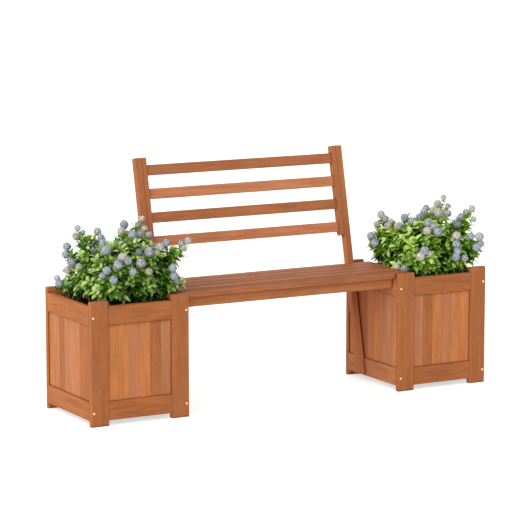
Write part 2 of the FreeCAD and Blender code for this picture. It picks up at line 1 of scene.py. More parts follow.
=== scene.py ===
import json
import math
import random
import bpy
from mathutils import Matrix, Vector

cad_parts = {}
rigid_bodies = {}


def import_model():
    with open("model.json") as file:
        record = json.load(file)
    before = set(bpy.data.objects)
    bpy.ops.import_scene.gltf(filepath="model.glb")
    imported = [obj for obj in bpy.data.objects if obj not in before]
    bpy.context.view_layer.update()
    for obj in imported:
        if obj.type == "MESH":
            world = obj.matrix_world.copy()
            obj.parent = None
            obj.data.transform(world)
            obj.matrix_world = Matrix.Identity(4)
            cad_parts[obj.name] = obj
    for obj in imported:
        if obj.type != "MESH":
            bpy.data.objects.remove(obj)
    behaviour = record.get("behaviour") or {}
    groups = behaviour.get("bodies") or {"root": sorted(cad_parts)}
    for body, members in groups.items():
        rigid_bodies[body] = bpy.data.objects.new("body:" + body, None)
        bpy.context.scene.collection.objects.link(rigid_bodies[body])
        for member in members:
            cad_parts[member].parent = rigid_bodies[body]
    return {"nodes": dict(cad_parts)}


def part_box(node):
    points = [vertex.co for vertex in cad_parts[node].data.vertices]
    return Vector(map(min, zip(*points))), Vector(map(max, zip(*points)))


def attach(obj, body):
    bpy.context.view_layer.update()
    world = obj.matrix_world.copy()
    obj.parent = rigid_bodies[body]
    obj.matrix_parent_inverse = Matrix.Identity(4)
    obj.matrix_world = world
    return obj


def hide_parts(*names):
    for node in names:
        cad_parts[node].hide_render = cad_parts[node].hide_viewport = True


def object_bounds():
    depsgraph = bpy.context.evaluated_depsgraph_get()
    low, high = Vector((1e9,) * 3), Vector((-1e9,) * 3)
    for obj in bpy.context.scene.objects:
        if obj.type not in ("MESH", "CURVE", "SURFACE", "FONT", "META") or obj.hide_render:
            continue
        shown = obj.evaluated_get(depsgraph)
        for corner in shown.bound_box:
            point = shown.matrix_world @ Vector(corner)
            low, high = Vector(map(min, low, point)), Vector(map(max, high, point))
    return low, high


bl_info = {
    "name": "Bench with planter",
    "version": (1, 0, 0),
    "blender": (4, 5, 0),
    "location": "View3D > Sidebar > Planter bench",
    "description": "Timber finishes, screws, earth, leaves and flower heads for a bench between two planters",
    "category": "Object",
}

import bpy
import bmesh
from bpy.props import FloatProperty, FloatVectorProperty, IntProperty, PointerProperty
from mathutils import Color, Matrix, Quaternion, Vector

for leftover in list(bpy.data.objects):
    bpy.data.objects.remove(leftover)
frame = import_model()
CAD_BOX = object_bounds()

BODY = "root"
SIDES = {"left": -1, "right": 1}
PHOTO_SIDE = 530
SENSOR_WIDTH = 36.0
CLIP_END = 200.0
WHITE = (1.0, 1.0, 1.0, 1.0)
GOLDEN_ANGLE = math.pi * (3 - math.sqrt(5))

# Flower heads that the camera sees: pixels across and down, radius in pixels, and tint; the dark tint is
# painted shade on heads that lie in shade
LEFT_HEAD_PIXELS = (
    (77.5, 228, 3.7, "white"), (83, 232, 2.7, "grey"), (75.5, 236, 4, "white"), (97.5, 231.5, 4.5, "grey"),
    (101, 237.5, 4, "blue"), (103, 243, 4.5, "blue"), (106, 250, 5.5, "blue"), (124, 224.5, 5, "blue"),
    (121.5, 231.5, 5, "pink"), (132.5, 235, 5, "blue"), (140, 234.5, 4, "grey"), (138, 224.5, 3.8, "blue"),
    (142, 218.5, 3.4, "pink"), (144.5, 229, 4, "cream"), (149, 235, 4, "grey"), (67, 246.5, 4.7, "blue"),
    (66, 254.5, 4.7, "blue"), (71.5, 263, 5, "blue"), (67.5, 270, 4.2, "pink"), (79, 267, 4, "cream"),
    (57, 278, 3.6, "white"), (59.5, 283.5, 5, "blue"), (122, 257, 4.4, "pink"), (128, 261, 4.4, "blue"),
    (118, 265, 5.2, "blue"), (141, 263, 5.6, "grey"), (149, 252, 5.6, "blue"), (139, 252, 4, "dark"),
    (106.5, 270.5, 4.6, "blue"), (102, 276, 3.4, "blue"), (113.5, 280, 4.6, "blue"), (133, 272, 4.5, "blue"),
    (149, 271.5, 4, "cream"), (160, 247, 4.5, "pink"), (166, 243, 4.5, "blue"), (157, 253, 3, "cream"),
    (181, 243.5, 3.6, "blue"), (188, 240.5, 4, "white"), (183.5, 248, 4, "cream"), (173, 268, 4.6, "blue"),
    (174.5, 276, 5, "blue"), (177, 281.5, 3.4, "dark"),
)
RIGHT_HEAD_PIXELS = (
    (443.5, 197.5, 3.3, "white"), (437.5, 204, 4.7, "white"), (448, 206, 3.2, "grey"), (426, 208, 4, "grey"),
    (424, 212, 4.3, "blue"), (433, 210, 4, "pink"), (439, 213.5, 6.3, "pink"), (448, 213.5, 4, "blue"),
    (419, 217, 4, "blue"), (404.5, 217.5, 4.5, "blue"), (411, 221.5, 3.6, "blue"), (381, 214.5, 4.5, "white"),
    (385.5, 219, 4.4, "grey"), (391, 221.5, 3.5, "white"), (377, 224.5, 4, "cream"), (388, 226, 4.5, "cream"),
    (398, 226, 4.6, "cream"), (371, 236, 4.7, "blue"), (375, 243, 5, "blue"), (428, 223, 4.8, "blue"),
    (433.5, 227, 4, "grey"), (427, 231, 4.6, "pink"), (437.5, 232, 5, "blue"), (457, 224, 5, "dark"),
    (461, 216.5, 4, "blue"), (466, 212, 3.6, "grey"), (472, 208.5, 3.8, "white"), (473.5, 219, 3.2, "white"),
    (456.5, 236, 5, "pink"), (456.5, 244, 4.6, "blue"), (457.5, 251, 4.5, "blue"), (456, 257, 4.6, "blue"),
    (464.5, 258, 4, "grey"), (471, 236, 4, "blue"), (481, 236.5, 5, "white"), (483, 243.5, 4, "grey"),
    (476.5, 247, 5, "blue"), (424.5, 251, 5.3, "blue"), (420.5, 256.5, 5, "pink"), (430, 254, 3.6, "cream"),
    (397, 267, 4.5, "pink"), (404, 269, 4, "blue"),
)
HEAD_PIXELS = {"left": LEFT_HEAD_PIXELS, "right": RIGHT_HEAD_PIXELS}


def tint(red, green, blue):
    """Linear colour of an 8-bit screen colour."""
    return tuple(Color((red / 255, green / 255, blue / 255)).from_srgb_to_scene_linear())


def chosen(family):
    """The settings of the timber, fixings, plants or stage."""
    return getattr(bpy.context.scene, "planter_bench_" + family)


def colour_property(name, words, default):
    """A colour that a user can change."""
    return FloatVectorProperty(name=name, description=words, default=default, subtype="COLOR",
                               min=0.0, max=1.0, size=3)


def length_property(name, words, default):
    """A length in metres that a user can change."""
    return FloatProperty(name=name, description=words, default=default, unit="LENGTH", min=0.0, precision=4)


def share_property(name, words, default):
    """A share from 0 to 1 that a user can change."""
    return FloatProperty(name=name, description=words, default=default, min=0.0, max=1.0, subtype="FACTOR")


def angle_property(name, words, default):
    """An angle that a user can change."""
    return FloatProperty(name=name, description=words, default=default, subtype="ANGLE")


def level_property(name, words, default):
    """A strength or ratio that a user can change."""
    return FloatProperty(name=name, description=words, default=default, min=0.0)


def count_property(name, words, default):
    """A number of things that a user can change."""
    return IntProperty(name=name, description=words, default=default, min=0)


def vector_property(name, words, default, subtype):
    """A place or direction that a user can change."""
    return FloatVectorProperty(name=name, description=words, default=default, subtype=subtype, size=3)


class TimberSettings(bpy.types.PropertyGroup):
    """Colours and grain of the oiled hardwood"""

    frame_colour: colour_property("Posts and rails", "Colour of the planters' posts and rails",
                                  tint(171, 106, 64))
    orange_board: colour_property("Orange boards", "Colour of the brightest upright boards",
                                  tint(196, 124, 75))
    pink_board: colour_property("Pink boards", "Colour of the pinkish upright boards", tint(186, 122, 83))
    brown_board: colour_property("Brown boards", "Colour of the darkest upright boards", tint(173, 107, 65))
    seat_colour: colour_property("Seat", "Colour of the seat slats", tint(179, 114, 75))
    # Lighter than the seat as painted light, against the shade of the slats over the aprons
    apron_lit_colour: colour_property("Aprons", "Colour of the rails under the seat", tint(182, 117, 74))
    back_colour: colour_property("Back", "Colour of the raked posts, stiles and slats", tint(175, 110, 70))
    light_back_colour: colour_property("Light back slats", "Colour of the second and fourth slat of the back",
                                       tint(194, 127, 87))
    hidden_colour: colour_property("Hidden timber", "Colour of the floor slats, cleats and bearers",
                                   tint(160, 100, 60))
    ring_spacing: length_property("Ring spacing", "Distance between growth rings", 0.006)
    fibre_width: length_property("Fibre width", "Width of one streak of fibre", 0.0011)
    edge_wear: length_property("Worn edge", "Width of the rubbed band along the edges", 0.0016)
    # Reach of the painted shade in joints and corners
    corner_shade_reach: length_property("Dirt reach", "How far the dark of a joint or corner reaches", 0.008)
    roughness: share_property("Roughness", "Roughness of the oiled surface", 0.55)
    board_width: length_property("Board pitch", "Distance from one planter board to the next", 0.226 / 6)
    side_board_width: length_property("Side board pitch", "The same on the planters' sides", 0.314 / 8)
    rake: angle_property("Rake", "Lean of the back from the upright", math.radians(12.5))


class FixingSettings(bpy.types.PropertyGroup):
    """Sizes and colours of the screws and bolts"""

    head_radius: length_property("Head radius", "Radius of a corner screw's head", 0.0045)
    head_height: length_property("Head height", "Height of a corner screw's dome", 0.0024)
    recess_width: length_property("Recess width", "Width of one arm of the cross recess", 0.0011)
    recess_reach: length_property("Recess reach", "Length of one arm from the middle", 0.0025)
    recess_depth: length_property("Recess depth", "Depth of the cross recess", 0.0013)
    stub_length: length_property("Stub length", "Shank that is modelled below the head", 0.006)
    corner_inset: length_property("Corner inset", "From a planter's corner to the screws", 0.009)
    head_colour: colour_property("Screw colour", "Passivated zinc of the screws", tint(250, 214, 168))
    bolt_colour: colour_property("Bolt colour", "Zinc of the bolts", tint(196, 192, 184))


class PlantSettings(bpy.types.PropertyGroup):
    """Shape and colours of the plants"""

    left_crown_width: length_property("Left crown width", "Half the width of the left crown", 0.155)
    right_crown_width: length_property("Right crown width", "Half the width of the right crown", 0.149)
    crown_depth: length_property("Crown depth", "Half the depth of the leafy crown", 0.163)
    left_crown_shift: length_property("Left crown shift", "How far the left crown leans towards +X", 0.027)
    right_crown_shift: length_property("Right crown shift", "How far the right crown leans towards +X", 0.035)
    # Lifts the tone of every leaf on the right plant
    right_tone_lift: share_property("Right freshness", "How much lighter the right leaves are", 0.05)
    left_crown_rise: length_property("Left crown rise", "Height of the left crown over the rim", 0.170)
    right_crown_rise: length_property("Right crown rise", "Height of the right crown over the rim", 0.150)
    crown_lumps: length_property("Crown lumps", "How far the crown's outline swells and sinks", 0.008)
    head_stand_off: length_property("Head stand-off", "How far flower heads stand outside the leaves", 0.010)
    leaf_length: length_property("Leaf length", "Length of a full leaf", 0.034)
    leaf_width: length_property("Leaf width", "Width of a full leaf", 0.021)
    right_leaf_size: level_property("Right leaf size", "Size of the right leaves beside the left's", 1.16)
    right_margin: share_property("Right margins", "Paleness of the right leaves' margins beside the left's",
                                 0.86)
    plain_share: share_property("Plain leaves", "Paleness of the plainest margins beside the palest", 0.60)
    leaf_shade_reach: length_property("Leaf shade reach", "How near other leaves darken a leaf", 0.030)
    stem_radius: length_property("Stem radius", "Radius of a stem where it leaves the earth", 0.0019)
    floret_radius: length_property("Floret radius", "Radius of one small flower", 0.0024)
    shoots: count_property("Outer shoots", "Leafy shoots that end on the crown", 170)
    collar_shoots: count_property("Collar shoots", "Leafy shoots close under each flower head", 3)
    inner_shoots: count_property("Inner shoots", "Shoots that fill the crown's middle", 60)
    back_heads: count_property("Heads behind", "Flower heads on the side away from the camera", 16)
    shoot_leaves: count_property("Leaves on a shoot", "Leaves along one leafy shoot", 16)
    seed: count_property("Seed", "Number that fixes every random choice", 7)
    dark_leaf: colour_property("Old leaves", "Colour of the darkest leaves", tint(10, 40, 0))
    mid_leaf: colour_property("Leaves", "Colour of most leaves", tint(156, 200, 70))
    young_leaf: colour_property("Young leaves", "Colour of the leaves at the tips", tint(226, 246, 112))
    # Pale ribs and margins: partly the leaves' own pale markings, partly painted highlight
    leaf_margin_highlight: colour_property("Ribs and margins", "Colour of the leaves' ribs and margins",
                               tint(254, 255, 250))
    stem_colour: colour_property("Stems", "Colour of the green stems", tint(96, 116, 52))
    blue: colour_property("Blue heads", "Colour of the blue flower heads", tint(160, 178, 204))
    grey: colour_property("Grey heads", "Colour of the greyish flower heads", tint(182, 180, 182))
    cream: colour_property("Cream heads", "Colour of the cream flower heads", tint(212, 208, 152))
    pink: colour_property("Pink heads", "Colour of the pinkish flower heads", tint(255, 236, 212))
    white: colour_property("White heads", "Colour of the palest flower heads", tint(236, 228, 222))
    # Painted shade: heads that lie in shade among the leaves get this darker colour
    dark: colour_property("Shaded heads", "Colour of the deep lilac flower heads", tint(104, 114, 128))
    paling: share_property("Paling", "How near to white the palest small flowers come", 1.0)
    earth_colour: colour_property("Earth", "Colour of the potting earth", tint(52, 38, 28))


class StageSettings(bpy.types.PropertyGroup):
    """Camera, floor and lights"""

    camera_place: vector_property("Camera place", "Where the camera stands", (-4.17515, -7.52122, 1.82095),
                                  "TRANSLATION")
    camera_turn: angle_property("Camera turn", "View direction, from +Y towards +X", 0.50622)
    camera_dip: angle_property("Camera dip", "View direction below the level", 0.15922)
    lens: FloatProperty(name="Lens", description="Focal length on a 36 mm sensor", default=175.598,
                        unit="CAMERA")
    floor_size: length_property("Floor", "Side of the square floor", 60.0)
    floor_colour: colour_property("Floor colour", "Colour of the floor", (0.86, 0.86, 0.86))
    floor_lift: level_property("Floor lift", "White that the floor shows beyond its light", 0.60)
    ambient: level_property("Ambient", "Strength of the white surroundings", 0.45)
    key_light: level_property("Key light", "Strength of the low light at the left", 0.80)
    key_direction: vector_property("Key direction", "Direction towards the key light",
                                   (-0.80, -0.50, 0.33), "DIRECTION")
    rear_light: level_property("Rear light", "Strength of the light behind", 0.42)
    rear_direction: vector_property("Rear direction", "Direction towards the rear light",
                                    (0.55, 0.80, 0.15), "DIRECTION")
    softness: angle_property("Softness", "Angle that each light fills", 1.5)


# Shader nodes


def new_tree(name):
    """A material with an empty node tree."""
    material = bpy.data.materials.new(name)
    material.use_nodes = True
    material.node_tree.nodes.clear()
    return material, material.node_tree


def add_node(tree, kind, inputs=None, **settings):
    """Add a node, set its options, and set or link its inputs by name or number."""
    made = tree.nodes.new("ShaderNode" + kind)
    for option, choice in settings.items():
        setattr(made, option, choice)
    for key, source in (inputs or {}).items():
        if isinstance(source, bpy.types.NodeSocket):
            tree.links.new(source, made.inputs[key])
        else:
            made.inputs[key].default_value = source
    return made


def math_node(tree, operation, *values):
    """The result of a Math node."""
    return add_node(tree, "Math", dict(enumerate(values)), operation=operation).outputs[0]


def range_node(tree, value, low, high, to_low=0.0, to_high=1.0):
    """A value mapped from one range to another, and kept inside it."""
    return add_node(tree, "MapRange", {0: value, 1: low, 2: high, 3: to_low, 4: to_high}).outputs[0]


def opaque(colour):
    """A colour with full alpha."""
    return (colour[0], colour[1], colour[2], 1.0)


def shaded(colour, factor):
    """A colour made lighter or darker."""
    return [min(1.0, channel * factor) for channel in colour]


def mix_colours(tree, share, first, second, blend="MIX"):
    """Two colours, written or from a node, mixed by a share."""
    first, second = (colour if isinstance(colour, bpy.types.NodeSocket) else opaque(colour)
                     for colour in (first, second))
    node = add_node(tree, "Mix", {0: share, 6: first, 7: second}, data_type="RGBA", blend_type=blend)
    return node.outputs[2]


def object_place(tree):
    """Where a point lies on its object, in metres."""
    return add_node(tree, "TexCoord").outputs["Object"]


def noise_node(tree, vector, scale, detail, roughness):
    """Soft noise between 0 and 1."""
    inputs = {"Vector": vector, "Scale": scale, "Detail": detail, "Roughness": roughness}
    return add_node(tree, "TexNoise", inputs).outputs["Fac"]


def stretch(tree, vector, along, turn=(0.0, 0.0, 0.0)):
    """A vector shortened in Z, which draws a pattern out along the grain, and then turned."""
    inputs = {"Vector": vector, "Rotation": turn, "Scale": (1.0, 1.0, along)}
    return add_node(tree, "Mapping", inputs).outputs[0]


def layer(tree, surface, share, colour):
    """A surface multiplied by a colour, by a share."""
    return mix_colours(tree, share, surface, colour, "MULTIPLY")


def finish_tree(tree, shader):
    """Send a shader to the output."""
    add_node(tree, "OutputMaterial", {"Surface": shader.outputs[0]})


def finish_surface(tree, colour, roughness, height, strength, depth, more=None, **settings):
    """Send a surface of a colour and roughness to the output, with bumps of a height from a pattern."""
    bump = add_node(tree, "Bump", {"Strength": strength, "Distance": depth, "Height": height}, **settings)
    inputs = {"Base Color": colour, "Roughness": roughness, "Normal": bump.outputs[0]}
    finish_tree(tree, add_node(tree, "BsdfPrincipled", {**inputs, **(more or {})}))


# Scale, detail and roughness of the noise in each finish
NOISES = {
    "bands": (62.0, 3.0, 0.6), "patches": (9.0, 2.0, 0.5), "zinc": (900.0, 4.0, 0.5),
    "leaf": (160.0, 3.0, 0.5), "stem": (700.0, 3.0, 0.5), "petal": (1100.0, 2.0, 0.5),
    "earth": (220.0, 6.0, 0.7),
}


# Timber


# The boards of each face, from low X or low Y: orange, pinkish or brown
BOARD_KINDS = {"front": "oopobp", "back": "pobpoo", "outer": "bbpppbpo", "inner": "pppopbbo"}
GRAIN_ORDER = {"x": ("Y", "Z", "X"), "y": ("Z", "X", "Y"), "z": ("X", "Y", "Z")}
# How far the pattern moves from one piece of timber to another, and how much more between boards
GRAIN_SHIFT = (3.7, 9.1, 5.3)
BOARD_SPREAD = 31.0
# The rings lie slightly out of line with the grain, so that they end on a face
RING_TURN = (0.03, 0.045, 0.5)
RING_STRETCH = 0.10
RING_WAVES = {"Distortion": 9.0, "Detail": 3.0, "Detail Scale": 0.30, "Detail Roughness": 0.6}
# Stretch, scale beside a fibre's width, detail and roughness of the noise in fibres and pores
FIBRE_NOISE, PORE_NOISE = (0.022, 0.5, 4.0, 0.65), (0.06, 1.1, 2.0, 0.5)
# Where in that noise the pores begin and where they are full
PORE_RANGE = (0.60, 0.68)
# Each layer: where its pattern starts and is full, its greatest share, and the colour multiplied in
LAYERS = {
    "rings": (0.0, 1.0, 0.22, (0.72, 0.65, 0.58)),
    "bands": (0.36, 0.66, 0.60, (0.76, 0.70, 0.64)),
    "patches": (0.35, 0.65, 0.45, (1.16, 1.12, 1.06)),
    "fibre": (0.30, 0.75, 0.42, (0.74, 0.68, 0.63)),
    "pores": (0.0, 1.0, 0.50, (0.50, 0.42, 0.38)),
}
# Makes up for what the layers take from the colour
BALANCE = (1.30, 1.34, 1.38)
END_GRAIN, END_SHARE = (0.76, 0.70, 0.68), 0.85
WORN_EDGE = (1.30, 1.28, 1.24)
# Painted shade multiplied into joints, corners and the gaps between slats
JOINT_SHADE = (0.34, 0.28, 0.26)
# Lightness of the darkest and the palest board
BOARD_LIGHTNESS = (0.95, 1.05)
# How squarely a face looks along an axis: where it begins to count, and where it does in full
SQUARE_ON = (0.8, 0.95)
# How far the normals of an edge agree where it begins to wear, and where it is worn
EDGE_TURN = (0.998, 0.90)
# How much smoother and rougher than the rest the palest and the darkest fibres are
SMOOTHER, ROUGHER = 0.06, 0.08
# How high fibres stand and how deep pores lie in the relief
FIBRE_HEIGHT, PORE_DEPTH = 0.6, 0.5


def grain_frame(tree, vector, along, lean):
    """A vector turned so that its Z runs along the grain."""
    if lean:
        vector = add_node(tree, "VectorRotate", {"Vector": vector, "Angle": lean},
                          rotation_type="X_AXIS").outputs[0]
    parts = add_node(tree, "SeparateXYZ", {0: vector})
    turned = {number: parts.outputs[axis] for number, axis in enumerate(GRAIN_ORDER[along])}
    return add_node(tree, "CombineXYZ", turned).outputs[0]


def fine_noise(tree, grain, drawn_out, scale, detail, roughness):
    """Noise about as wide as a fibre, drawn out along the grain."""
    scale /= chosen("timber").fibre_width
    return noise_node(tree, stretch(tree, grain, drawn_out), scale, detail, roughness)


class BoardRow:
    """The upright boards of one planter face: where the row starts, its pitch and each board's kind"""

    def __init__(self, name):
        settings = chosen("timber")
        low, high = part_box(name)
        self.axis = "Y" if high.y - low.y > high.x - low.x else "X"
        self.start = low.y if self.axis == "Y" else low.x
        self.pitch = settings.side_board_width if self.axis == "Y" else settings.board_width
        kinds = BOARD_KINDS[name.split("_")[1]]
        self.kinds = kinds[::-1] if self.axis == "X" and name.startswith("right") else kinds
        self.colours = {"o": settings.orange_board, "p": settings.pink_board, "b": settings.brown_board}

    def number(self, tree, place):
        """Which board a point lies on, as a whole number."""
        along = add_node(tree, "SeparateXYZ", {0: place}).outputs[self.axis]
        moved = math_node(tree, "SUBTRACT", along, self.start)
        return math_node(tree, "FLOOR", math_node(tree, "DIVIDE", moved, self.pitch))

    def colour(self, tree, number):
        """The colour of a board."""
        count = len(self.kinds)
        place = math_node(tree, "DIVIDE", math_node(tree, "ADD", number, 0.5), count)
        ramp = add_node(tree, "ValToRGB", {0: place})
        ramp.color_ramp.interpolation = "CONSTANT"
        for step, kind in enumerate(self.kinds):
            stop = ramp.color_ramp.elements[0] if step == 0 else ramp.color_ramp.elements.new(step / count)
            stop.color = opaque(self.colours[kind])
        return ramp.outputs[0]


def timber(name, colour, along, lean=0.0, row=None, contrast=1.0, gloss=0.08, top_shade=1.0,
           wear=0.4, joints=(0.45, 0.95)):
    """Oiled hardwood: broad bands, fibre streaks and pores along the grain, and darker end grain."""
    settings = chosen("timber")
    material, tree = new_tree(name)
    place = object_place(tree)
    normal = add_node(tree, "NewGeometry").outputs["Normal"]
    chance = add_node(tree, "ObjectInfo").outputs["Random"]
    if row:
        number = row.number(tree, place)
        colour = row.colour(tree, number)
        mixed = math_node(tree, "ADD", number, math_node(tree, "MULTIPLY", chance, BOARD_SPREAD))
        chance = add_node(tree, "TexWhiteNoise", {"W": mixed}, noise_dimensions="1D").outputs["Value"]
    shift = {axis: math_node(tree, "MULTIPLY", chance, far) for axis, far in enumerate(GRAIN_SHIFT)}
    shift = add_node(tree, "CombineXYZ", shift).outputs[0]
    grain = add_node(tree, "VectorMath", {0: grain_frame(tree, place, along, lean), 1: shift},
                     operation="ADD").outputs[0]

    # Growth rings and broad bands, fine streaks and open pores
    tilted = stretch(tree, grain, RING_STRETCH, RING_TURN)
    waves = {"Vector": tilted, "Scale": math.pi / 10 / settings.ring_spacing, **RING_WAVES}
    rings = add_node(tree, "TexWave", waves, wave_type="BANDS", bands_direction="X",
                     wave_profile="SIN").outputs["Fac"]
    bands = noise_node(tree, tilted, *NOISES["bands"])
    patches = noise_node(tree, grain, *NOISES["patches"])
    fibre = fine_noise(tree, grain, *FIBRE_NOISE)
    pores = range_node(tree, fine_noise(tree, grain, *PORE_NOISE), *PORE_RANGE)

    level = range_node(tree, chance, 0.0, 1.0, *BOARD_LIGHTNESS)
    grey = add_node(tree, "CombineColor", {0: level, 1: level, 2: level}).outputs[0]
    surface = mix_colours(tree, 1.0, grey, colour, "MULTIPLY")
    for kind, pattern, strength in (("rings", rings, 1.0), ("bands", bands, contrast),
                                    ("patches", patches, contrast), ("fibre", fibre, contrast),
                                    ("pores", pores, 1.0)):
        low, high, share, shade = LAYERS[kind]
        surface = layer(tree, surface, range_node(tree, pattern, low, high, 0.0, share * strength), shade)
    surface = layer(tree, surface, 1.0, BALANCE)

    # End grain faces along the grain axis are darker, and faces that look up are darkened by a factor as
    # painted shade
    facing = add_node(tree, "SeparateXYZ", {0: grain_frame(tree, normal, along, lean)}).outputs["Z"]
    end = range_node(tree, math_node(tree, "ABSOLUTE", facing), *SQUARE_ON, 0.0, END_SHARE)
    surface = layer(tree, surface, end, END_GRAIN)
    upward = add_node(tree, "SeparateXYZ", {0: normal}).outputs["Z"]
    surface = layer(tree, surface, range_node(tree, upward, *SQUARE_ON), (top_shade, top_shade, top_shade))

    # Handling rubs the edges lighter, and joints, corners and the gaps between slats get painted shade where
    # little open space is near
    softened = add_node(tree, "Bevel", {"Radius": settings.edge_wear}, samples=4).outputs[0]
    turn = add_node(tree, "VectorMath", {0: softened, 1: normal}, operation="DOT_PRODUCT").outputs["Value"]
    worn = range_node(tree, turn, *EDGE_TURN, 0.0, wear)
    worn = math_node(tree, "MULTIPLY", worn, range_node(tree, patches, 0.40, 0.62, 0.25, 1.0))
    surface = layer(tree, surface, worn, WORN_EDGE)
    reach = {"Distance": settings.corner_shade_reach}
    open_share = add_node(tree, "AmbientOcclusion", reach, samples=8).outputs["AO"]
    surface = layer(tree, surface, range_node(tree, open_share, *joints, 1.0, 0.0), JOINT_SHADE)

    rough = range_node(tree, fibre, 0.3, 0.7, settings.roughness - SMOOTHER, settings.roughness + ROUGHER)
    relief = math_node(tree, "SUBTRACT", math_node(tree, "MULTIPLY", fibre, FIBRE_HEIGHT),
                       math_node(tree, "MULTIPLY", pores, PORE_DEPTH))
    finish_surface(tree, surface, rough, relief, strength=0.35, depth=0.0004,
                   more={"Specular IOR Level": gloss})
    return material


def dress(names, material):
    """Give CAD nodes a material in every slot."""
    for name in names:
        mesh = frame["nodes"][name].data
        if not mesh.materials:
            mesh.materials.append(material)
        for number in range(len(mesh.materials)):
            mesh.materials[number] = material


def nodes_ending(*endings):
    """Names of the CAD nodes that end in any of the given words."""
    return sorted(name for name in frame["nodes"] if name.endswith(endings))


# Random numbers


# Ranges that random sizes are drawn from
RANGES = {
    "screw_turn": (0, math.pi), "shoot_base": (-0.012, 0.012), "shoot_tone": (-0.16, 0.16),
    "back_turn": (-0.35, 0.85), "back_climb": (8, 42), "back_radius": (0.013, 0.018),
    "leaf_start": (0, 2 * math.pi), "leaf_turn": (-0.35, 0.35), "leaf_opening": (-14, 14),
    "leaf_facing": (-0.35, 0.35), "leaf_length": (0.8, 1.15), "leaf_width": (0.9, 1.1),
    "leaf_tone": (-0.26, 0.26), "leaf_droop": (0.10, 0.45), "leaf_fold": (0.15, 0.55),
    "collar_across": (-0.014, 0.014), "collar_behind": (-0.006, 0.020), "collar_drop": (0.004, 0.022),
    "collar_inward": (0.006, 0.030), "crown_turn": (-0.25, 0.25), "crown_depth": (0.0, 0.024),
    "inner_reach": (0.45, 0.8), "head_turn": (0, math.tau), "floret_around": (-0.2, 0.2),
    "floret_aim": (-0.09, 0.09), "floret_depth": (0.86, 0.96), "floret_spin": (0, math.pi),
    "floret_paling": (-0.3, 0.7), "petal_size": (0.86, 1.08), "crumbs": (-0.004, 0.0),
    "clod_size": (1.2, 3.2),
}


# What each plant adds to the common seed
SEEDS = {
    "heads": {"left": 701, "right": 700}, "leaves": {"left": 11, "right": 23},
    "petals": {"left": 5, "right": 6}, "earth": {"left": 1, "right": 0},
}


class Chance(random.Random):
    """Seeded random numbers from the named ranges"""

    def pick(self, name):
        """The next random number from a range."""
        return self.uniform(*RANGES[name])


def plant_chance(side, purpose):
    """Random numbers for one purpose on one plant."""
    return Chance(chosen("plants").seed + SEEDS[purpose][side])


# Meshes


def new_piece(name, vertices, faces, materials, replaced):
    """A smooth mesh object of the bench that stands for CAD nodes and rides with them."""
    mesh = bpy.data.meshes.new(name)
    mesh.from_pydata(vertices, [], faces)
    for material in materials:
        mesh.materials.append(material)
    mesh.polygons.foreach_set("use_smooth", [True] * len(mesh.polygons))
    mesh.update()
    piece = bpy.data.objects.new(name, mesh)
    bpy.context.scene.collection.objects.link(piece)
    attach(piece, BODY)
    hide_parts(*replaced)
    return piece


def screw_head(settings, sectors=40, rings=10, dome=3.2, shank=0.42):
    """Vertices and faces of a domed head with a cross recess, standing on Z = 0, with a stub below."""
    radius, height = settings.head_radius, settings.head_height
    vertices = [(0.0, 0.0, height - settings.recess_depth)]
    around = [2 * math.pi * sector / sectors for sector in range(sectors)]
    for ring in range(1, rings + 1):
        away = radius * ring / rings
        for angle in around:
            x, y = away * math.cos(angle), away * math.sin(angle)
            z = height * (1 - (away / radius) ** dome)
            arm = min(abs(x), abs(y)) < settings.recess_width / 2 and away < settings.recess_reach
            vertices.append((x, y, z - (settings.recess_depth if arm else 0.0)))
    for z in (0.0, -settings.stub_length):
        vertices.extend((shank * radius * math.cos(angle), shank * radius * math.sin(angle), z)
                        for angle in around)
    faces = [(0, 1 + s, 1 + (s + 1) % sectors) for s in range(sectors)]
    for ring in range(rings + 1):
        low, high = 1 + ring * sectors, 1 + (ring + 1) * sectors
        for s in range(sectors):
            t = (s + 1) % sectors
            faces.append((low + s, high + s, high + t, low + t))
    last = 1 + (rings + 1) * sectors
    faces.append(tuple(last + s for s in reversed(range(sectors))))
    return vertices, faces


def zinc(name, colour):
    """Passivated zinc: a cloudy sheen with fine wear."""
    material, tree = new_tree(name)
    cloud = noise_node(tree, object_place(tree), *NOISES["zinc"])
    surface = mix_colours(tree, range_node(tree, cloud, 0.35, 0.65), shaded(colour, 0.86),
                          shaded(colour, 1.04))
    rough = range_node(tree, cloud, 0.3, 0.7, 0.26, 0.42)
    finish_surface(tree, surface, rough, cloud, strength=0.15, depth=0.0001, more={"Metallic": 0.85})
    return material


# Plants


# Powers of a crown's outline: round it, and upward
ROUND_POWER, DOME_POWER = 6.0, 2.9
# How fast its lumps follow each other, in radians a metre: across, upward, towards the back and downward
LUMP_PACES = (47, 31, 53, 23)
# Room that leaves keep from the planter's walls, from a raked post and over what they lie on
WALL_ROOM, POST_ROOM, LEAF_ROOM = 0.003, 0.0035, 0.0015
# How far back a raked post starts, for leaves and for flower heads, and the heads' room beside it
POST_FRONT, POST_FRONT_HEADS, HEAD_ROOM = 0.080, 0.05, 0.022
# How near to the rim and to the bench's box a shoot's tip may come
TIP_RISE, TIP_MARGIN = 0.010, 0.014
# Tints of the flower heads behind, in turn, and how squarely they face away from the camera at least
BACK_TINTS = ("blue", "blue", "grey", "blue", "pink", "cream")
BACK_FACING = 0.50
# How far two of them may sink into each other
HEAD_OVERLAP = 0.006
# Half a leaf's outline: share of the length, and half width as a share of the width
LEAF_STATIONS = ((0.0, 0.0), (0.10, 0.20), (0.24, 0.43), (0.30, 0.37), (0.46, 0.50), (0.52, 0.41),
                 (0.66, 0.42), (0.72, 0.32), (0.84, 0.26), (0.90, 0.16), (1.0, 0.0))
TOOTH_SLANT = 0.03


def clamp(value, low=0.0, high=1.0):
    """A value kept between two others."""
    return min(max(value, low), high)


def aim(turn, climb):
    """The direction at a turn from +X towards +Y and a climb from the level."""
    return Vector((math.cos(turn) * math.cos(climb), math.sin(turn) * math.cos(climb), math.sin(climb)))


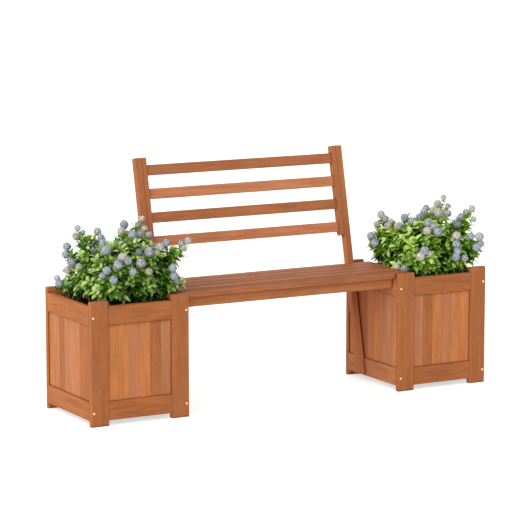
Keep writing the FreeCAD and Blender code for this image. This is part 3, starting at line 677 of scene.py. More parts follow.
def pixel_ray(across=PHOTO_SIDE / 2, down=PHOTO_SIDE / 2):
    """Start and direction of the camera's ray through a pixel of the photograph."""
    stage = chosen("stage")
    turn, dip = stage.camera_turn, stage.camera_dip
    forward = Vector((math.sin(turn) * math.cos(dip), math.cos(turn) * math.cos(dip), -math.sin(dip)))
    right = Vector((math.cos(turn), -math.sin(turn), 0.0))
    up = right.cross(forward)
    scale = SENSOR_WIDTH / stage.lens / PHOTO_SIDE
    direction = (forward + right * ((across - PHOTO_SIDE / 2) * scale)
                 - up * ((down - PHOTO_SIDE / 2) * scale))
    return Vector(stage.camera_place), direction.normalized()


class Crown:
    """The rounded outline of one plant over its planter"""

    def __init__(self, side):
        settings = chosen("plants")
        self.side, self.sign = side, SIDES[side]
        posts = [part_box("%s_%s_post" % (side, place)) for place in ("front_outer", "back_inner")]
        self.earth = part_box(side + "_soil")[1].z
        self.rim = posts[0][1].z
        middle = sum((corner for post in posts for corner in post), Vector()) / 4
        width, shift, rise = (getattr(settings, "%s_crown_%s" % (side, size)) for size in
                              ("width", "shift", "rise"))
        self.centre = Vector((middle.x + shift, middle.y, self.rim))
        self.radii = Vector((width, settings.crown_depth, rise))
        self.toward = -pixel_ray()[1]
        self.limit = [Vector(corner) for corner in CAD_BOX]
        self.inner_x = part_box("seat_slat_1")[1].x + WALL_ROOM
        self.outer_x = min(abs(corner.x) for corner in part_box(side + "_outer_top_rail")) - WALL_ROOM
        self.leg_x = max(abs(corner.x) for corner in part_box(side + "_back_post")) + POST_ROOM
        self.low_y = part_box(side + "_front_top_rail")[1].y + WALL_ROOM
        self.high_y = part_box(side + "_back_top_rail")[0].y - WALL_ROOM

    def measure(self, offset, grown):
        """Under 1 where an offset from the centre lies inside the crown, over 1 outside it."""
        x, y, z = (abs(offset[n]) / (self.radii[n] + grown) for n in range(3))
        flat = (x ** ROUND_POWER + y ** ROUND_POWER) ** (1 / ROUND_POWER)
        return (flat ** DOME_POWER + z ** DOME_POWER) ** (1 / DOME_POWER)

    def outline(self, direction, grown=0.0):
        """Where a direction from the centre meets the crown."""
        return self.centre + direction / self.measure(direction, grown)

    def lumps(self, point):
        """Swell of the crown's outline at a point."""
        size = chosen("plants").crown_lumps
        across, up, back, down = LUMP_PACES
        return size * (math.sin(point.x * across + point.z * up + 1.0)
                       + math.sin(point.y * back - point.z * down))

    def under_pixel(self, across, down, radius, before=0.30, pace=0.003, steps=220, stray=30):
        """Centre of a flower head that the camera sees at a pixel: on the crown, or as near as it comes."""
        start, direction = pixel_ray(across, down)
        reach = (self.centre - start).length
        best, nearest = None, math.inf
        for step in range(steps):
            point = start + direction * (reach - before + pace * step)
            held = self.hold(point, radius)
            depth = self.measure(held - self.centre, chosen("plants").head_stand_off)
            if depth <= 1.0 and held == point:
                return point
            cost = depth + stray * (held - point).length
            if cost < nearest:
                best, nearest = held, cost
        return best

    def keep_clear(self, point):
        """A point moved off the rim, the seat and the raked post, so that leaves lie on them."""
        x, y, z = point
        inside = self.inner_x < abs(x) < self.outer_x and self.low_y < y < self.high_y
        if not inside:
            z = max(z, self.rim + LEAF_ROOM)
        if y > POST_FRONT and abs(x) < self.leg_x:
            x = self.sign * self.leg_x
        low, high = self.limit
        return (clamp(x, low.x, high.x), clamp(y, low.y, high.y), z)

    def hold(self, point, margin):
        """A point kept a margin inside the bench's own box."""
        low, high = self.limit
        return Vector((clamp(point.x, low.x + margin, high.x - margin),
                       clamp(point.y, low.y + margin, high.y - margin), point.z))

    def hold_tip(self, tip):
        """A shoot's tip kept inside the box and over the rim."""
        tip = self.hold(tip, TIP_MARGIN)
        tip.z = max(tip.z, self.rim + TIP_RISE)
        return tip


# Shoots under a flower head, in its collar, on the crown and inside it: thickness of the stem, where its
# leaves start, their size, and how far the foot spreads
SHOOT_KINDS = {"head": (1.0, 0.5, 0.95, 0.42), "collar": (0.7, 0.66, 0.95, 0.42),
               "outer": (0.8, 0.56, 1.0, 0.42), "inner": (1.0, 0.30, 1.1, 0.6)}
HEAD_LEAVES, COLLAR_LEAVES = 22, 12
# Where the outer shoots begin in the crown's height, and the share of it that they take up
SHOOT_FLOOR, SHOOT_SPAN = 0.02, 0.97
# How far the inner shoots are turned against them, in radians, and how deep in a head its shoot ends
INNER_TURN, HEAD_DEPTH = 0.5, 0.6
# Angle between a leaf and its stem at the shoot's foot, and how much less it is at the tip, in degrees
LEAF_ANGLE, TIP_CLOSING = 88, 46
# How much shorter the last leaf of a shoot is, and how high over the stem's middle a leaf starts
TIP_SHORTENING, LEAF_STAND_OFF = 0.38, 0.001
# How far a leaf's face follows the stem and how far it looks up
FACE_ALONG, FACE_UP = 0.8, 0.7
# Lightness of a leaf, low deep in the crown as older leaves and painted shade: the depth in the crown where
# it begins, how fast and how far it grows from there, how far it grows along the shoot, and what each leaf
# has of it
TONE_DEPTH, TONE_PACE, TONE_OUTSIDE, TONE_TIP, TONE_BASE = 0.76, 2.8, 0.66, 0.2, 0.03


class Shoot:
    """A stem from the earth to its tip"""

    def __init__(self, crown, tip, chance, spread, sunk=0.004, inset=0.012, rise=0.62, sweep=0.10):
        flat = Vector((tip.x - crown.centre.x, tip.y - crown.centre.y, 0.0))
        jitter = Vector((chance.pick("shoot_base"), chance.pick("shoot_base"), 0.0))
        self.base = Vector((crown.centre.x, crown.centre.y, crown.earth - sunk)) + flat * spread + jitter
        self.base.x = crown.sign * max(abs(self.base.x), crown.inner_x + inset)
        self.tip = tip
        self.bend = self.base + Vector((0, 0, rise * (tip.z - self.base.z))) + flat * sweep

    def at(self, share):
        """Point on the stem."""
        return (self.base * (1 - share) ** 2 + self.bend * (2 * share * (1 - share))
                + self.tip * share ** 2)

    def heading(self, share):
        """Direction of the stem."""
        ahead = (self.bend - self.base) * (1 - share) + (self.tip - self.bend) * share
        return ahead.normalized()


def plant_heads(crown):
    """The flower heads of a plant: centre, radius and tint."""
    settings = chosen("plants")
    chance = plant_chance(crown.side, "heads")
    start, forward = pixel_ray()
    focal = chosen("stage").lens / SENSOR_WIDTH * PHOTO_SIDE
    heads = []
    for across, down, radius, name in HEAD_PIXELS[crown.side]:
        size = radius * (crown.centre - start).dot(forward) / focal
        heads.append((crown.under_pixel(across, down, size), size, name))
    made = 0
    while made < settings.back_heads:
        direction = aim(chance.pick("back_turn") * math.pi, math.radians(chance.pick("back_climb")))
        if direction.dot(forward) < BACK_FACING:
            continue
        radius = chance.pick("back_radius")
        centre = crown.hold(crown.outline(direction, settings.head_stand_off), radius)
        if min((centre - other).length - radius - far for other, far, name in heads) < -HEAD_OVERLAP:
            continue
        if centre.y > POST_FRONT_HEADS and abs(centre.x) < crown.leg_x + HEAD_ROOM:
            continue
        heads.append((centre, radius, BACK_TINTS[made % len(BACK_TINTS)]))
        made += 1
    return heads


def leaf_template():
    """A toothed leaf: points (along, across, distance from the rib) and faces."""
    points, faces, rows = [], [], []
    for along, across in LEAF_STATIONS:
        row = [(along, 0.0, 0.0)]
        if across:
            row = [(along - TOOTH_SLANT, -across, 1.0), row[0], (along - TOOTH_SLANT, across, 1.0)]
        rows.append(range(len(points), len(points) + len(row)))
        points.extend(row)
    for first, second in zip(rows, rows[1:]):
        if len(first) == 1:
            faces.extend(((first[0], second[0], second[1]), (first[0], second[1], second[2])))
        elif len(second) == 1:
            faces.extend(((first[0], second[0], first[1]), (first[1], second[0], first[2])))
        else:
            faces.extend((first[n], second[n], second[n + 1], first[n + 1]) for n in (0, 1))
    return points, faces


class MeshPile:
    """Vertices, faces, face materials and vertex tints gathered for one mesh"""

    def __init__(self):
        self.vertices, self.faces, self.slots, self.tints = [], [], [], []

    def add(self, vertices, faces, slot, tints):
        """Add a small mesh."""
        start = len(self.vertices)
        self.vertices.extend(vertices)
        self.faces.extend(tuple(start + corner for corner in face) for face in faces)
        self.slots.extend([slot] * len(faces))
        self.tints.extend(tints)

    def piece(self, name, materials, slot, replaced):
        """Make the object."""
        made = new_piece(name, self.vertices, self.faces, materials, replaced)
        made.data.polygons.foreach_set("material_index", self.slots)
        shades = made.data.color_attributes.new("tint", "FLOAT_COLOR", "POINT")
        shades.data.foreach_set("color", [channel for shade in self.tints for channel in shade])
        return made


def add_leaf(pile, crown, template, root, heading, facing, length, width, tone, droop, fold, palest=1.05,
             middle=0.3):
    """Add one leaf that starts at root, runs along heading and shows its face to facing."""
    settings = chosen("plants")
    # A margin from the digits of the length: some leaves are plain, and some have pale ribs and margins,
    # partly painted highlight
    margin = settings.plain_share + (palest - settings.plain_share) * (length * 1e4 % 1.0)
    if crown.side == "right":
        margin *= settings.right_margin
    points, faces = template
    across = heading.cross(facing).normalized()
    facing = across.cross(heading).normalized()
    vertices, tints = [], []
    for along, side, edge in points:
        lift = fold * abs(side) * width - droop * along * along * length
        place = root + heading * (along * length) + across * (side * width) + facing * lift
        vertices.append(crown.keep_clear(place))
        tints.append((tone, along, middle + (edge - middle) * margin, 1.0))
    pile.add(vertices, faces, 0, tints)


def add_stem(pile, shoot, radius, sides=5, steps=7, taper=0.5):
    """Add a tapered stem."""
    vertices, tints = [], []
    for step in range(steps + 1):
        share = step / steps
        centre, heading = shoot.at(share), shoot.heading(share)
        first = heading.orthogonal().normalized()
        second = heading.cross(first)
        thick = radius * (1 - taper * share)
        for corner in range(sides):
            angle = 2 * math.pi * corner / sides
            vertices.append(centre + (first * math.cos(angle) + second * math.sin(angle)) * thick)
            tints.append((0.0, share, 0.0, 1.0))
    faces = []
    for step in range(steps):
        for corner in range(sides):
            other = (corner + 1) % sides
            low, high = step * sides, (step + 1) * sides
            faces.append((low + corner, low + other, high + other, high + corner))
    faces.append(tuple(reversed(range(sides))))
    faces.append(tuple(steps * sides + corner for corner in range(sides)))
    pile.add(vertices, faces, 1, tints)


def hides(middle, heads, toward, behind=0.2, before=0.16, near=0.85):
    """True where a leaf would stand in front of a flower head."""
    for centre, radius, name in heads:
        offset = middle - centre
        ahead = offset.dot(toward)
        if -behind * radius < ahead < before and (offset - toward * ahead).length < near * radius:
            return True
    return False


def add_leaves(pile, crown, template, shoot, chance, count, start, size, heads=()):
    """Add leaves in a spiral along a shoot: smaller towards its tip, and darker deep in the crown, partly as
    painted shade.
    """
    settings = chosen("plants")
    turn = chance.pick("leaf_start")
    lean = chance.pick("shoot_tone")
    if crown.side == "right":
        size = size * settings.right_leaf_size
    for number in range(count):
        share = (number + 0.5) / count
        along = start + (1 - start) * share
        root, stem = shoot.at(along), shoot.heading(along)
        turn += GOLDEN_ANGLE + chance.pick("leaf_turn")
        sideways = Quaternion(stem, turn) @ stem.orthogonal().normalized()
        # Leaves stand off the stem at its foot and close up towards its tip
        opening = math.radians(LEAF_ANGLE - TIP_CLOSING * share + chance.pick("leaf_opening"))
        heading = (stem * math.cos(opening) + sideways * math.sin(opening)).normalized()
        facing = (stem * FACE_ALONG + Vector((0, 0, FACE_UP))
                  + Vector([chance.pick("leaf_facing") for axis in "xyz"]))
        length = settings.leaf_length * size * (1.0 - TIP_SHORTENING * share) * chance.pick("leaf_length")
        width = settings.leaf_width * length / settings.leaf_length * chance.pick("leaf_width")
        middle = root + heading * (0.5 * length)
        if hides(middle, heads, crown.toward):
            continue
        # Lighter near the crown's outline, partly as painted light, and near the shoot's tip
        deep = crown.measure(middle - crown.centre, 0.0)
        tone = (clamp(TONE_PACE * (deep - TONE_DEPTH)) * TONE_OUTSIDE + TONE_TIP * share + lean
                + TONE_BASE)
        if crown.side == "right":
            tone += settings.right_tone_lift
        tone = clamp(tone + chance.pick("leaf_tone"))
        add_leaf(pile, crown, template, root + sideways * LEAF_STAND_OFF, heading, facing, length, width,
                 tone, chance.pick("leaf_droop"), chance.pick("leaf_fold"))


def grow(side, materials):
    """Grow one plant's stems and leaves as a single piece."""
    settings = chosen("plants")
    crown = Crown(side)
    chance = plant_chance(side, "leaves")
    template = leaf_template()
    pile = MeshPile()
    heads = plant_heads(crown)

    def add_shoot(kind, tip, leaves, seen=heads):
        """Add a stem to a tip, with its leaves, apart from those that would hide a seen head."""
        thick, start, size, spread = SHOOT_KINDS[kind]
        shoot = Shoot(crown, tip, chance, spread)
        add_stem(pile, shoot, settings.stem_radius * thick)
        add_leaves(pile, crown, template, shoot, chance, leaves, start, size, seen)

    for centre, radius, name in heads:
        add_shoot("head", centre - Vector((0, 0, HEAD_DEPTH * radius)), HEAD_LEAVES)
        inward = Vector((crown.centre.x - centre.x, crown.centre.y - centre.y, 0.0)).normalized()
        for number in range(settings.collar_shoots):
            drop = Vector((chance.pick("collar_across"), chance.pick("collar_behind"),
                           -radius - chance.pick("collar_drop")))
            tip = crown.hold_tip(centre + inward * chance.pick("collar_inward") + drop)
            add_shoot("collar", tip, COLLAR_LEAVES)
    for number in range(settings.shoots):
        climb = math.asin(SHOOT_FLOOR + SHOOT_SPAN * (number + 0.5) / settings.shoots)
        direction = aim(number * GOLDEN_ANGLE + chance.pick("crown_turn"), climb)
        tip = crown.outline(direction)
        tip += direction * (crown.lumps(tip) - chance.pick("crown_depth"))
        add_shoot("outer", crown.hold_tip(tip), settings.shoot_leaves)
    for number in range(settings.inner_shoots):
        climb = math.asin((number + 0.5) / settings.inner_shoots)
        direction = aim(number * GOLDEN_ANGLE + INNER_TURN, climb)
        tip = crown.centre + (crown.outline(direction) - crown.centre) * chance.pick("inner_reach")
        add_shoot("inner", tip, settings.shoot_leaves, ())
    return pile.piece(side + "_shrub", materials, "leaves", (side + "_foliage",))


# A petal's outer corners in the floret's radius: along, aside and outward
PETAL = ((0.55, 0.42, 0.22), (1.0, 0.0, 0.16), (0.55, -0.42, 0.22))
# The core is a darker copy of the head's colour: painted shade between the florets
CORE_SHADE = (0.30, 0.31, 0.34)
FEWEST_FLORETS = 20
LUMP_DEPTH = 0.06
# The brightest that a petal may be, beside white and beside its head's colour, and how soon it pales
PALEST, PALEST_GAIN, PALING_PACE = 0.90, 2.6, 1.8
# Colour of a petal that isn't pale beside its head's colour, and how pale a floret's heart is
PETAL_SHADE, HEART_PALENESS = 0.74, 0.6
HEART_RISE = 0.0002


def add_head(pile, centre, radius, colour, chance, packing=1.9, core_size=0.78):
    """Add a lumpy globe of small four-petalled flowers around a core darkened as painted shade."""
    settings = chosen("plants")
    core = bmesh.new()
    bmesh.ops.create_icosphere(core, subdivisions=2, radius=radius * core_size)
    core.verts.ensure_lookup_table()
    shade = tuple(channel * dim for channel, dim in zip(colour, CORE_SHADE))
    pile.add([centre + vertex.co for vertex in core.verts],
             [tuple(vertex.index for vertex in face.verts) for face in core.faces], 1,
             [opaque(shade)] * len(core.verts))
    core.free()
    floret = settings.floret_radius
    palest = min(PALEST, PALEST_GAIN * max(colour))
    turn = chance.pick("head_turn")
    count = max(FEWEST_FLORETS, int(4 * math.pi * radius ** 2 / (floret ** 2 * packing)))
    for number in range(count):
        height = 1 - 2 * (number + 0.5) / count
        around = number * GOLDEN_ANGLE + chance.pick("floret_around")
        flat = math.sqrt(1 - height * height)
        out = Vector((flat * math.cos(around), flat * math.sin(around), height))
        out = (out + Vector([chance.pick("floret_aim") for axis in "xyz"])).normalized()
        lump = 1 - LUMP_DEPTH * (1 + math.sin(7 * out.x + turn) * math.cos(6 * out.z - turn))
        middle = centre + out * (radius * lump * chance.pick("floret_depth"))
        first = Quaternion(out, chance.pick("floret_spin")) @ out.orthogonal().normalized()
        pale = settings.paling * clamp(PALING_PACE * chance.pick("floret_paling"))
        petal = tuple(channel * PETAL_SHADE + (palest - channel * PETAL_SHADE) * pale for channel in colour)
        heart = tuple(channel + (palest - channel) * HEART_PALENESS for channel in colour)
        vertices, faces, tints = [middle + out * HEART_RISE], [], [opaque(heart)]
        for leaf in range(4):
            reach = Quaternion(out, leaf * math.pi / 2) @ first
            across = out.cross(reach)
            size = floret * chance.pick("petal_size")
            start = len(vertices)
            for along, aside, lift in PETAL:
                vertices.append(middle + reach * (size * along) + across * (size * aside)
                                + out * (size * lift))
            faces.append((0, start, start + 1, start + 2))
            tints.extend([opaque(petal)] * 3)
        pile.add(vertices, faces, 0, tints)


# Veins of a leaf: how many cross its length, how far they slant, and how strongly they show
VEINS, VEIN_SLANT, VEIN_DEPTH = 34.0, 8.0, 0.28
VEIN_SHADE = (0.70, 0.74, 0.60)
LEAF_SHADOW = (0.34, 0.62, 0.06)
BARK = (0.09, 0.06, 0.035)
PETAL_STREAK = (0.80, 0.78, 0.88)
GRIT = (0.42, 0.38, 0.32)


def mesh_tint(tree):
    """The tint that each point of a mesh carries."""
    return add_node(tree, "Attribute", attribute_name="tint").outputs["Color"]


def leaf_material():
    """Satin leaves, dark to yellow-green, with veins, a pale rib and a lighter edge that are partly painted
    highlight, and painted shade among other leaves.
    """
    settings = chosen("plants")
    material, tree = new_tree("leaf")
    tone, along, edge = add_node(tree, "SeparateColor", {0: mesh_tint(tree)}).outputs
    mottle = noise_node(tree, object_place(tree), *NOISES["leaf"])
    tone = math_node(tree, "ADD", tone, range_node(tree, mottle, 0.3, 0.7, -0.12, 0.12))
    blade = mix_colours(tree, range_node(tree, tone, 0.0, 0.5), settings.dark_leaf, settings.mid_leaf)
    blade = mix_colours(tree, range_node(tree, tone, 0.45, 1.0), blade, settings.young_leaf)
    # Pale ribs and margins, paler on lighter leaves: partly the leaves' own markings, partly painted
    # highlight
    pale = math_node(tree, "MAXIMUM", range_node(tree, edge, 0.0, 0.16, 1.0, 0.0),
                     range_node(tree, edge, 0.66, 0.96))
    pale = math_node(tree, "MULTIPLY", pale, range_node(tree, tone, 0.1, 0.6, 0.15, 1.0))
    blade = mix_colours(tree, pale, blade, settings.leaf_margin_highlight)
    slant = math_node(tree, "SUBTRACT", math_node(tree, "MULTIPLY", along, VEINS),
                      math_node(tree, "MULTIPLY", edge, VEIN_SLANT))
    veins = range_node(tree, math_node(tree, "SINE", slant), 0.6, 1.0)
    blade = layer(tree, blade, math_node(tree, "MULTIPLY", veins, VEIN_DEPTH), VEIN_SHADE)

    # Painted shade: leaves deep among others are darker and greener, and their sheen is turned down
    reach = {"Distance": settings.leaf_shade_reach}
    open_share = add_node(tree, "AmbientOcclusion", reach, samples=6).outputs["AO"]
    blade = layer(tree, blade, range_node(tree, open_share, 0.22, 0.66, 1.0, 0.0), LEAF_SHADOW)
    gleam = range_node(tree, open_share, 0.35, 0.85, 0.0, 0.42)
    finish_surface(tree, blade, 0.42, veins, strength=0.4, depth=0.0004,
                   more={"Specular IOR Level": gleam}, invert=True)
    return material


def stem_material():
    """Green stems that turn woody and brown towards the earth."""
    colour = chosen("plants").stem_colour
    material, tree = new_tree("stem")
    along = add_node(tree, "SeparateColor", {0: mesh_tint(tree)}).outputs[1]
    speck = noise_node(tree, object_place(tree), *NOISES["stem"])
    green = mix_colours(tree, speck, shaded(colour, 0.75), shaded(colour, 1.2))
    bark = mix_colours(tree, range_node(tree, along, 0.2, 0.6, 1.0, 0.0), green, BARK)
    finish_surface(tree, bark, 0.6, speck, strength=0.4, depth=0.0003)
    return material


def petal_material(name, roughness):
    """Matt petals that carry their tint in the mesh, faintly streaked."""
    material, tree = new_tree(name)
    streak = noise_node(tree, object_place(tree), *NOISES["petal"])
    surface = layer(tree, mesh_tint(tree), range_node(tree, streak, 0.35, 0.65, 0.0, 0.3), PETAL_STREAK)
    finish_surface(tree, surface, roughness, streak, strength=0.2, depth=0.0002,
                   more={"Specular IOR Level": 0.3})
    return material


def earth_material():
    """Damp potting earth: dark crumbs with paler grit."""
    colour = chosen("plants").earth_colour
    material, tree = new_tree("earth")
    place = object_place(tree)
    crumbs = noise_node(tree, place, *NOISES["earth"])
    grit = add_node(tree, "TexVoronoi", {"Vector": place, "Scale": 260.0}).outputs["Distance"]
    surface = mix_colours(tree, range_node(tree, crumbs, 0.35, 0.7), shaded(colour, 0.6),
                          shaded(colour, 1.7))
    surface = mix_colours(tree, range_node(tree, grit, 0.12, 0.08, 0.0, 0.6), surface, GRIT)
    finish_surface(tree, surface, 0.92, crumbs, strength=0.8, depth=0.002)
    return material


def fill_planter(side, material, count=44, clods=90, rise=0.005, sunk=0.004):
    """A block of earth with a crumbly top."""
    chance = plant_chance(side, "earth")
    low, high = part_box(side + "_soil")
    heights = [[chance.pick("crumbs") for column in range(count)] for line in range(count)]
    for clod in range(clods):
        column, line, size = chance.randrange(count), chance.randrange(count), chance.pick("clod_size")
        for i in range(count):
            for j in range(count):
                gap = math.hypot(i - column, j - line)
                if gap < size:
                    heights[j][i] += rise * (1 - (gap / size) ** 2)
    vertices, faces = [], []
    for line in range(count):
        for column in range(count):
            x = low.x + (high.x - low.x) * column / (count - 1)
            y = low.y + (high.y - low.y) * line / (count - 1)
            vertices.append((x, y, high.z - sunk + heights[line][column]))
    for line in range(count - 1):
        for column in range(count - 1):
            corner = line * count + column
            faces.append((corner, corner + 1, corner + count + 1, corner + count))
    last = count - 1
    rim = (*range(last), *range(last, count * last, count), *range(count * count - 1, count * last, -1),
           *range(count * last, 0, -count))
    base = len(vertices)
    vertices.extend((vertices[corner][0], vertices[corner][1], low.z) for corner in rim)
    for n in range(len(rim)):
        after = (n + 1) % len(rim)
        faces.append((rim[after], rim[n], base + n, base + after))
    faces.append(tuple(base + n for n in reversed(range(len(rim)))))
    return new_piece(side + "_earth", vertices, faces, (material,), (side + "_soil",))


# Operators


class PLANTERBENCH_OT_finish_frame(bpy.types.Operator):
    """Oil the planters' posts and rails"""

    bl_idname = "planterbench.finish_frame"
    bl_label = "Finish posts and rails"

    def execute(self, context):
        settings = chosen("timber")
        colour = settings.frame_colour
        posts = [name for name in nodes_ending("_post") if not name.endswith("_back_post")]
        dress(posts, timber("timber_post", colour, "z"))
        across = [name for name in nodes_ending("_rail") if "_front_" in name or "_back_" in name]
        dress(across, timber("timber_front_rail", shaded(colour, 1.05), "x", contrast=1.5))
        sides = [name for name in nodes_ending("_rail") if name not in across]
        dress(sides, timber("timber_side_rail", shaded(colour, 1.09), "y", contrast=1.5))
        # Painted light: the right planter's inner rails take the lighter pink board colour against the seat's
        # shade
        dress([name for name in sides if name.startswith("right_inner")],
              timber("timber_lit_inner_rail", settings.pink_board, "y", contrast=1.5))
        return {"FINISHED"}


class PLANTERBENCH_OT_finish_boards(bpy.types.Operator):
    """Oil the planters' boards, each from its own tree"""

    bl_idname = "planterbench.finish_boards"
    bl_label = "Finish boards"

    def execute(self, context):
        for name in nodes_ending("_boards"):
            dress([name], timber("timber_" + name, None, "z", row=BoardRow(name)))
        return {"FINISHED"}


class PLANTERBENCH_OT_finish_seat(bpy.types.Operator):
    """Oil the seat slats and aprons"""

    bl_idname = "planterbench.finish_seat"
    bl_label = "Finish seat"

    def execute(self, context):
        settings = chosen("timber")
        slats = [name for name in frame["nodes"] if name.startswith("seat_slat") and name != "seat_slat_1"]
        # Painted shade: the slats' tops are darkened, the front slat's more, which also stands for its darker
        # tone, and the gaps between slats are shaded
        dress(slats, timber("timber_seat_slat", settings.seat_colour, "x", contrast=1.4, gloss=0.03,
                            top_shade=0.87, wear=0.0, joints=(0.72, 1.0)))
        dress(["seat_slat_1"], timber("timber_front_slat", settings.seat_colour, "x", contrast=1.4,
                                      gloss=0.01, top_shade=0.80, wear=0.0, joints=(0.72, 1.0)))
        # The aprons' lighter colour is painted light against the shade of the slats over them
        dress(nodes_ending("_apron"), timber("timber_apron", settings.apron_lit_colour, "x"))
        return {"FINISHED"}


class PLANTERBENCH_OT_finish_back(bpy.types.Operator):
    """Oil the raked posts, the stiles and the slats between them"""

    bl_idname = "planterbench.finish_back"
    bl_label = "Finish back"

    def execute(self, context):
        settings = chosen("timber")
        upright = timber("timber_back_upright", settings.back_colour, "z", settings.rake)
        dress(["left_back_post", "right_back_post"] + nodes_ending("_stile"), upright)
        dark = timber("timber_back_slat", settings.back_colour, "x", settings.rake, contrast=1.5,
                      gloss=0.25)
        light = timber("timber_light_back_slat", settings.light_back_colour, "x", settings.rake,
                       contrast=1.5, gloss=0.25)
        dress(["back_slat_1", "back_slat_3"], dark)
        dress(["back_slat_2", "back_slat_4"], light)
        return {"FINISHED"}


class PLANTERBENCH_OT_finish_hidden(bpy.types.Operator):
    """Finish the floors, cleats and bearers"""

    bl_idname = "planterbench.finish_hidden"
    bl_label = "Finish hidden timber"

    def execute(self, context):
        colour = chosen("timber").hidden_colour
        dress(nodes_ending("_floor_slats"), timber("timber_floor", colour, "x"))
        dress(["floor_cleats", "seat_bearers"], timber("timber_cross", colour, "y"))
        return {"FINISHED"}


class PLANTERBENCH_OT_fit_corner_screws(bpy.types.Operator):
    """Fit domed screws with a cross recess at the planters' corners"""

    bl_idname = "planterbench.fit_corner_screws"
    bl_label = "Fit corner screws"
    seed = 3

    def execute(self, context):
        settings = chosen("fixings")
        chance = Chance(self.seed)
        head, head_faces = screw_head(settings)
        lowest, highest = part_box("planter_screws")
        levels = (lowest.z + settings.head_radius, highest.z - settings.head_radius)
        vertices, faces = [], []
        for side, sign in SIDES.items():
            for face, outward in (("front", -1), ("back", 1)):
                for place, edge in (("inner", -sign), ("outer", sign)):
                    low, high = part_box("%s_%s_%s_post" % (side, face, place))
                    x = (high.x if edge > 0 else low.x) - edge * settings.corner_inset
                    y = low.y if outward < 0 else high.y
                    for level in levels:
                        spin = Matrix.Rotation(chance.pick("screw_turn"), 4, "Z")
                        tip = Matrix.Rotation(-outward * math.pi / 2, 4, "X")
                        matrix = Matrix.Translation((x, y, level)) @ tip @ spin
                        start = len(vertices)
                        vertices.extend(matrix @ Vector(point) for point in head)
                        faces.extend(tuple(start + corner for corner in ring) for ring in head_faces)
        metal = zinc("zinc_screw", settings.head_colour)
        new_piece("corner_screws", vertices, faces, (metal,), ("planter_screws",))
        return {"FINISHED"}


class PLANTERBENCH_OT_finish_fixings(bpy.types.Operator):
    """Finish the frame screws and the leg bolts"""

    bl_idname = "planterbench.finish_fixings"
    bl_label = "Finish screws and bolts"

    def execute(self, context):
        settings = chosen("fixings")
        dress(["frame_screws"], zinc("zinc_frame_screw", settings.head_colour))
        dress(["leg_bolts"], zinc("zinc_bolt", settings.bolt_colour))
        return {"FINISHED"}


class PLANTERBENCH_OT_fill_earth(bpy.types.Operator):
    """Fill both planters with earth"""

    bl_idname = "planterbench.fill_earth"
    bl_label = "Fill with earth"

    def execute(self, context):
        material = earth_material()
        for side in SIDES:
            fill_planter(side, material)
        return {"FINISHED"}


class PLANTERBENCH_OT_grow_leaves(bpy.types.Operator):
    """Grow the stems and leaves of both plants"""

    bl_idname = "planterbench.grow_leaves"
    bl_label = "Grow leaves"

    def execute(self, context):
        materials = (leaf_material(), stem_material())
        for side in SIDES:
            grow(side, materials)
        return {"FINISHED"}


class PLANTERBENCH_OT_open_flowers(bpy.types.Operator):
    """Set the flower heads on their stems"""

    bl_idname = "planterbench.open_flowers"
    bl_label = "Open flower heads"

    def execute(self, context):
        settings = chosen("plants")
        materials = (petal_material("petal", 0.6), petal_material("flower_core", 0.8))
        for side in SIDES:
            chance = plant_chance(side, "petals")
            pile = MeshPile()
            for centre, radius, name in plant_heads(Crown(side)):
                add_head(pile, centre, radius, tuple(getattr(settings, name)), chance)
            pile.piece(side + "_flowers", materials, "flowers", (side + "_flower_heads",))
        return {"FINISHED"}


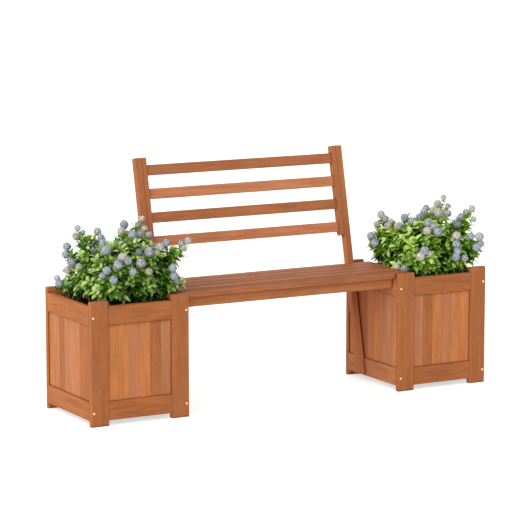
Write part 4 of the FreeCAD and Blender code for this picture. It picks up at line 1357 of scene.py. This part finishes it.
class PLANTERBENCH_OT_set_stage(bpy.types.Operator):
    """Set the camera, the floor, the surroundings and the lights"""

    bl_idname = "planterbench.set_stage"
    bl_label = "Set stage"

    def execute(self, context):
        stage = chosen("stage")
        camera = bpy.data.objects.new("camera", bpy.data.cameras.new("camera"))
        context.scene.collection.objects.link(camera)
        camera.data.sensor_width = SENSOR_WIDTH
        camera.data.lens = stage.lens
        camera.location = stage.camera_place
        camera.rotation_euler = (math.pi / 2 - stage.camera_dip, 0.0, -stage.camera_turn)
        camera.data.clip_end = CLIP_END
        context.scene.camera = camera
        context.scene.view_settings.view_transform = "Standard"
        self.lay_floor(context, stage)
        self.surround(context, stage)
        self.hang_light(context, "key_light", stage.key_light, stage.key_direction, stage.softness)
        self.hang_light(context, "rear_light", stage.rear_light, stage.rear_direction, stage.softness)
        return {"FINISHED"}

    def seen_rays(self, tree):
        """1 where the camera sees a surface, also in a reflection or through glass."""
        rays = add_node(tree, "LightPath").outputs
        reflected = math_node(tree, "MAXIMUM", rays["Is Glossy Ray"], rays["Is Transmission Ray"])
        return math_node(tree, "MAXIMUM", rays["Is Camera Ray"], reflected)

    def lay_floor(self, context, stage):
        """A pale floor that keeps the bench's shadow."""
        material, tree = new_tree("studio_floor")
        shader = add_node(tree, "BsdfDiffuse", {"Color": opaque(stage.floor_colour)})
        lift = math_node(tree, "MULTIPLY", self.seen_rays(tree), stage.floor_lift)
        glow = add_node(tree, "Emission", {"Color": WHITE, "Strength": lift})
        both = add_node(tree, "AddShader", {0: shader.outputs[0], 1: glow.outputs[0]})
        finish_tree(tree, both)
        half = stage.floor_size / 2
        mesh = bpy.data.meshes.new("floor")
        mesh.from_pydata([(-half, -half, 0), (half, -half, 0), (half, half, 0), (-half, half, 0)], [],
                         [(0, 1, 2, 3)])
        mesh.materials.append(material)
        floor = bpy.data.objects.new("floor", mesh)
        context.scene.collection.objects.link(floor)

    def surround(self, context, stage):
        """White surroundings, brighter to the camera and in reflections than as light."""
        world = bpy.data.worlds.new("studio")
        world.use_nodes = True
        tree = world.node_tree
        tree.nodes.clear()
        strength = range_node(tree, self.seen_rays(tree), 0.0, 1.0, stage.ambient, 1.0)
        light = add_node(tree, "Background", {"Color": WHITE, "Strength": strength})
        add_node(tree, "OutputWorld", {"Surface": light.outputs[0]})
        context.scene.world = world

    def hang_light(self, context, name, level, direction, softness):
        """A broad distant light. At level 1 a white surface that faces it turns white."""
        light = bpy.data.lights.new(name, "SUN")
        light.energy = math.pi * level
        light.angle = softness
        lamp = bpy.data.objects.new(name, light)
        context.scene.collection.objects.link(lamp)
        lamp.location = Vector(direction) * 4
        lamp.rotation_euler = (-Vector(direction)).to_track_quat("-Z", "Y").to_euler()


class PLANTERBENCH_PT_panel(bpy.types.Panel):
    """Sizes, colours and steps of the planter bench"""

    bl_idname = "PLANTERBENCH_PT_panel"
    bl_label = "Planter bench"
    bl_space_type = "VIEW_3D"
    bl_region_type = "UI"
    bl_category = "Planter bench"

    def draw(self, context):
        layout = self.layout
        for name in GROUPS:
            group = getattr(context.scene, name)
            box = layout.box()
            for setting in group.__annotations__:
                box.prop(group, setting)
        for operator in OPERATORS:
            layout.operator(operator.bl_idname)


OPERATORS = (
    PLANTERBENCH_OT_finish_frame,
    PLANTERBENCH_OT_finish_boards,
    PLANTERBENCH_OT_finish_seat,
    PLANTERBENCH_OT_finish_back,
    PLANTERBENCH_OT_finish_hidden,
    PLANTERBENCH_OT_fit_corner_screws,
    PLANTERBENCH_OT_finish_fixings,
    PLANTERBENCH_OT_fill_earth,
    PLANTERBENCH_OT_grow_leaves,
    PLANTERBENCH_OT_open_flowers,
    PLANTERBENCH_OT_set_stage,
)
GROUPS = {
    "planter_bench_timber": TimberSettings,
    "planter_bench_fixings": FixingSettings,
    "planter_bench_plants": PlantSettings,
    "planter_bench_stage": StageSettings,
}


def register():
    """Add the classes and their settings."""
    for group in GROUPS.values():
        bpy.utils.register_class(group)
    for operator in OPERATORS:
        bpy.utils.register_class(operator)
    bpy.utils.register_class(PLANTERBENCH_PT_panel)
    for name, group in GROUPS.items():
        setattr(bpy.types.Scene, name, PointerProperty(type=group))


def unregister():
    """Remove them again."""
    for name in GROUPS:
        delattr(bpy.types.Scene, name)
    bpy.utils.unregister_class(PLANTERBENCH_PT_panel)
    for group in (*reversed(OPERATORS), *reversed(tuple(GROUPS.values()))):
        bpy.utils.unregister_class(group)


def main():
    """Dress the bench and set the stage."""
    register()
    for operator in OPERATORS:
        family, step = operator.bl_idname.split(".")
        getattr(getattr(bpy.ops, family), step)()


if __name__ == "__main__":
    main()
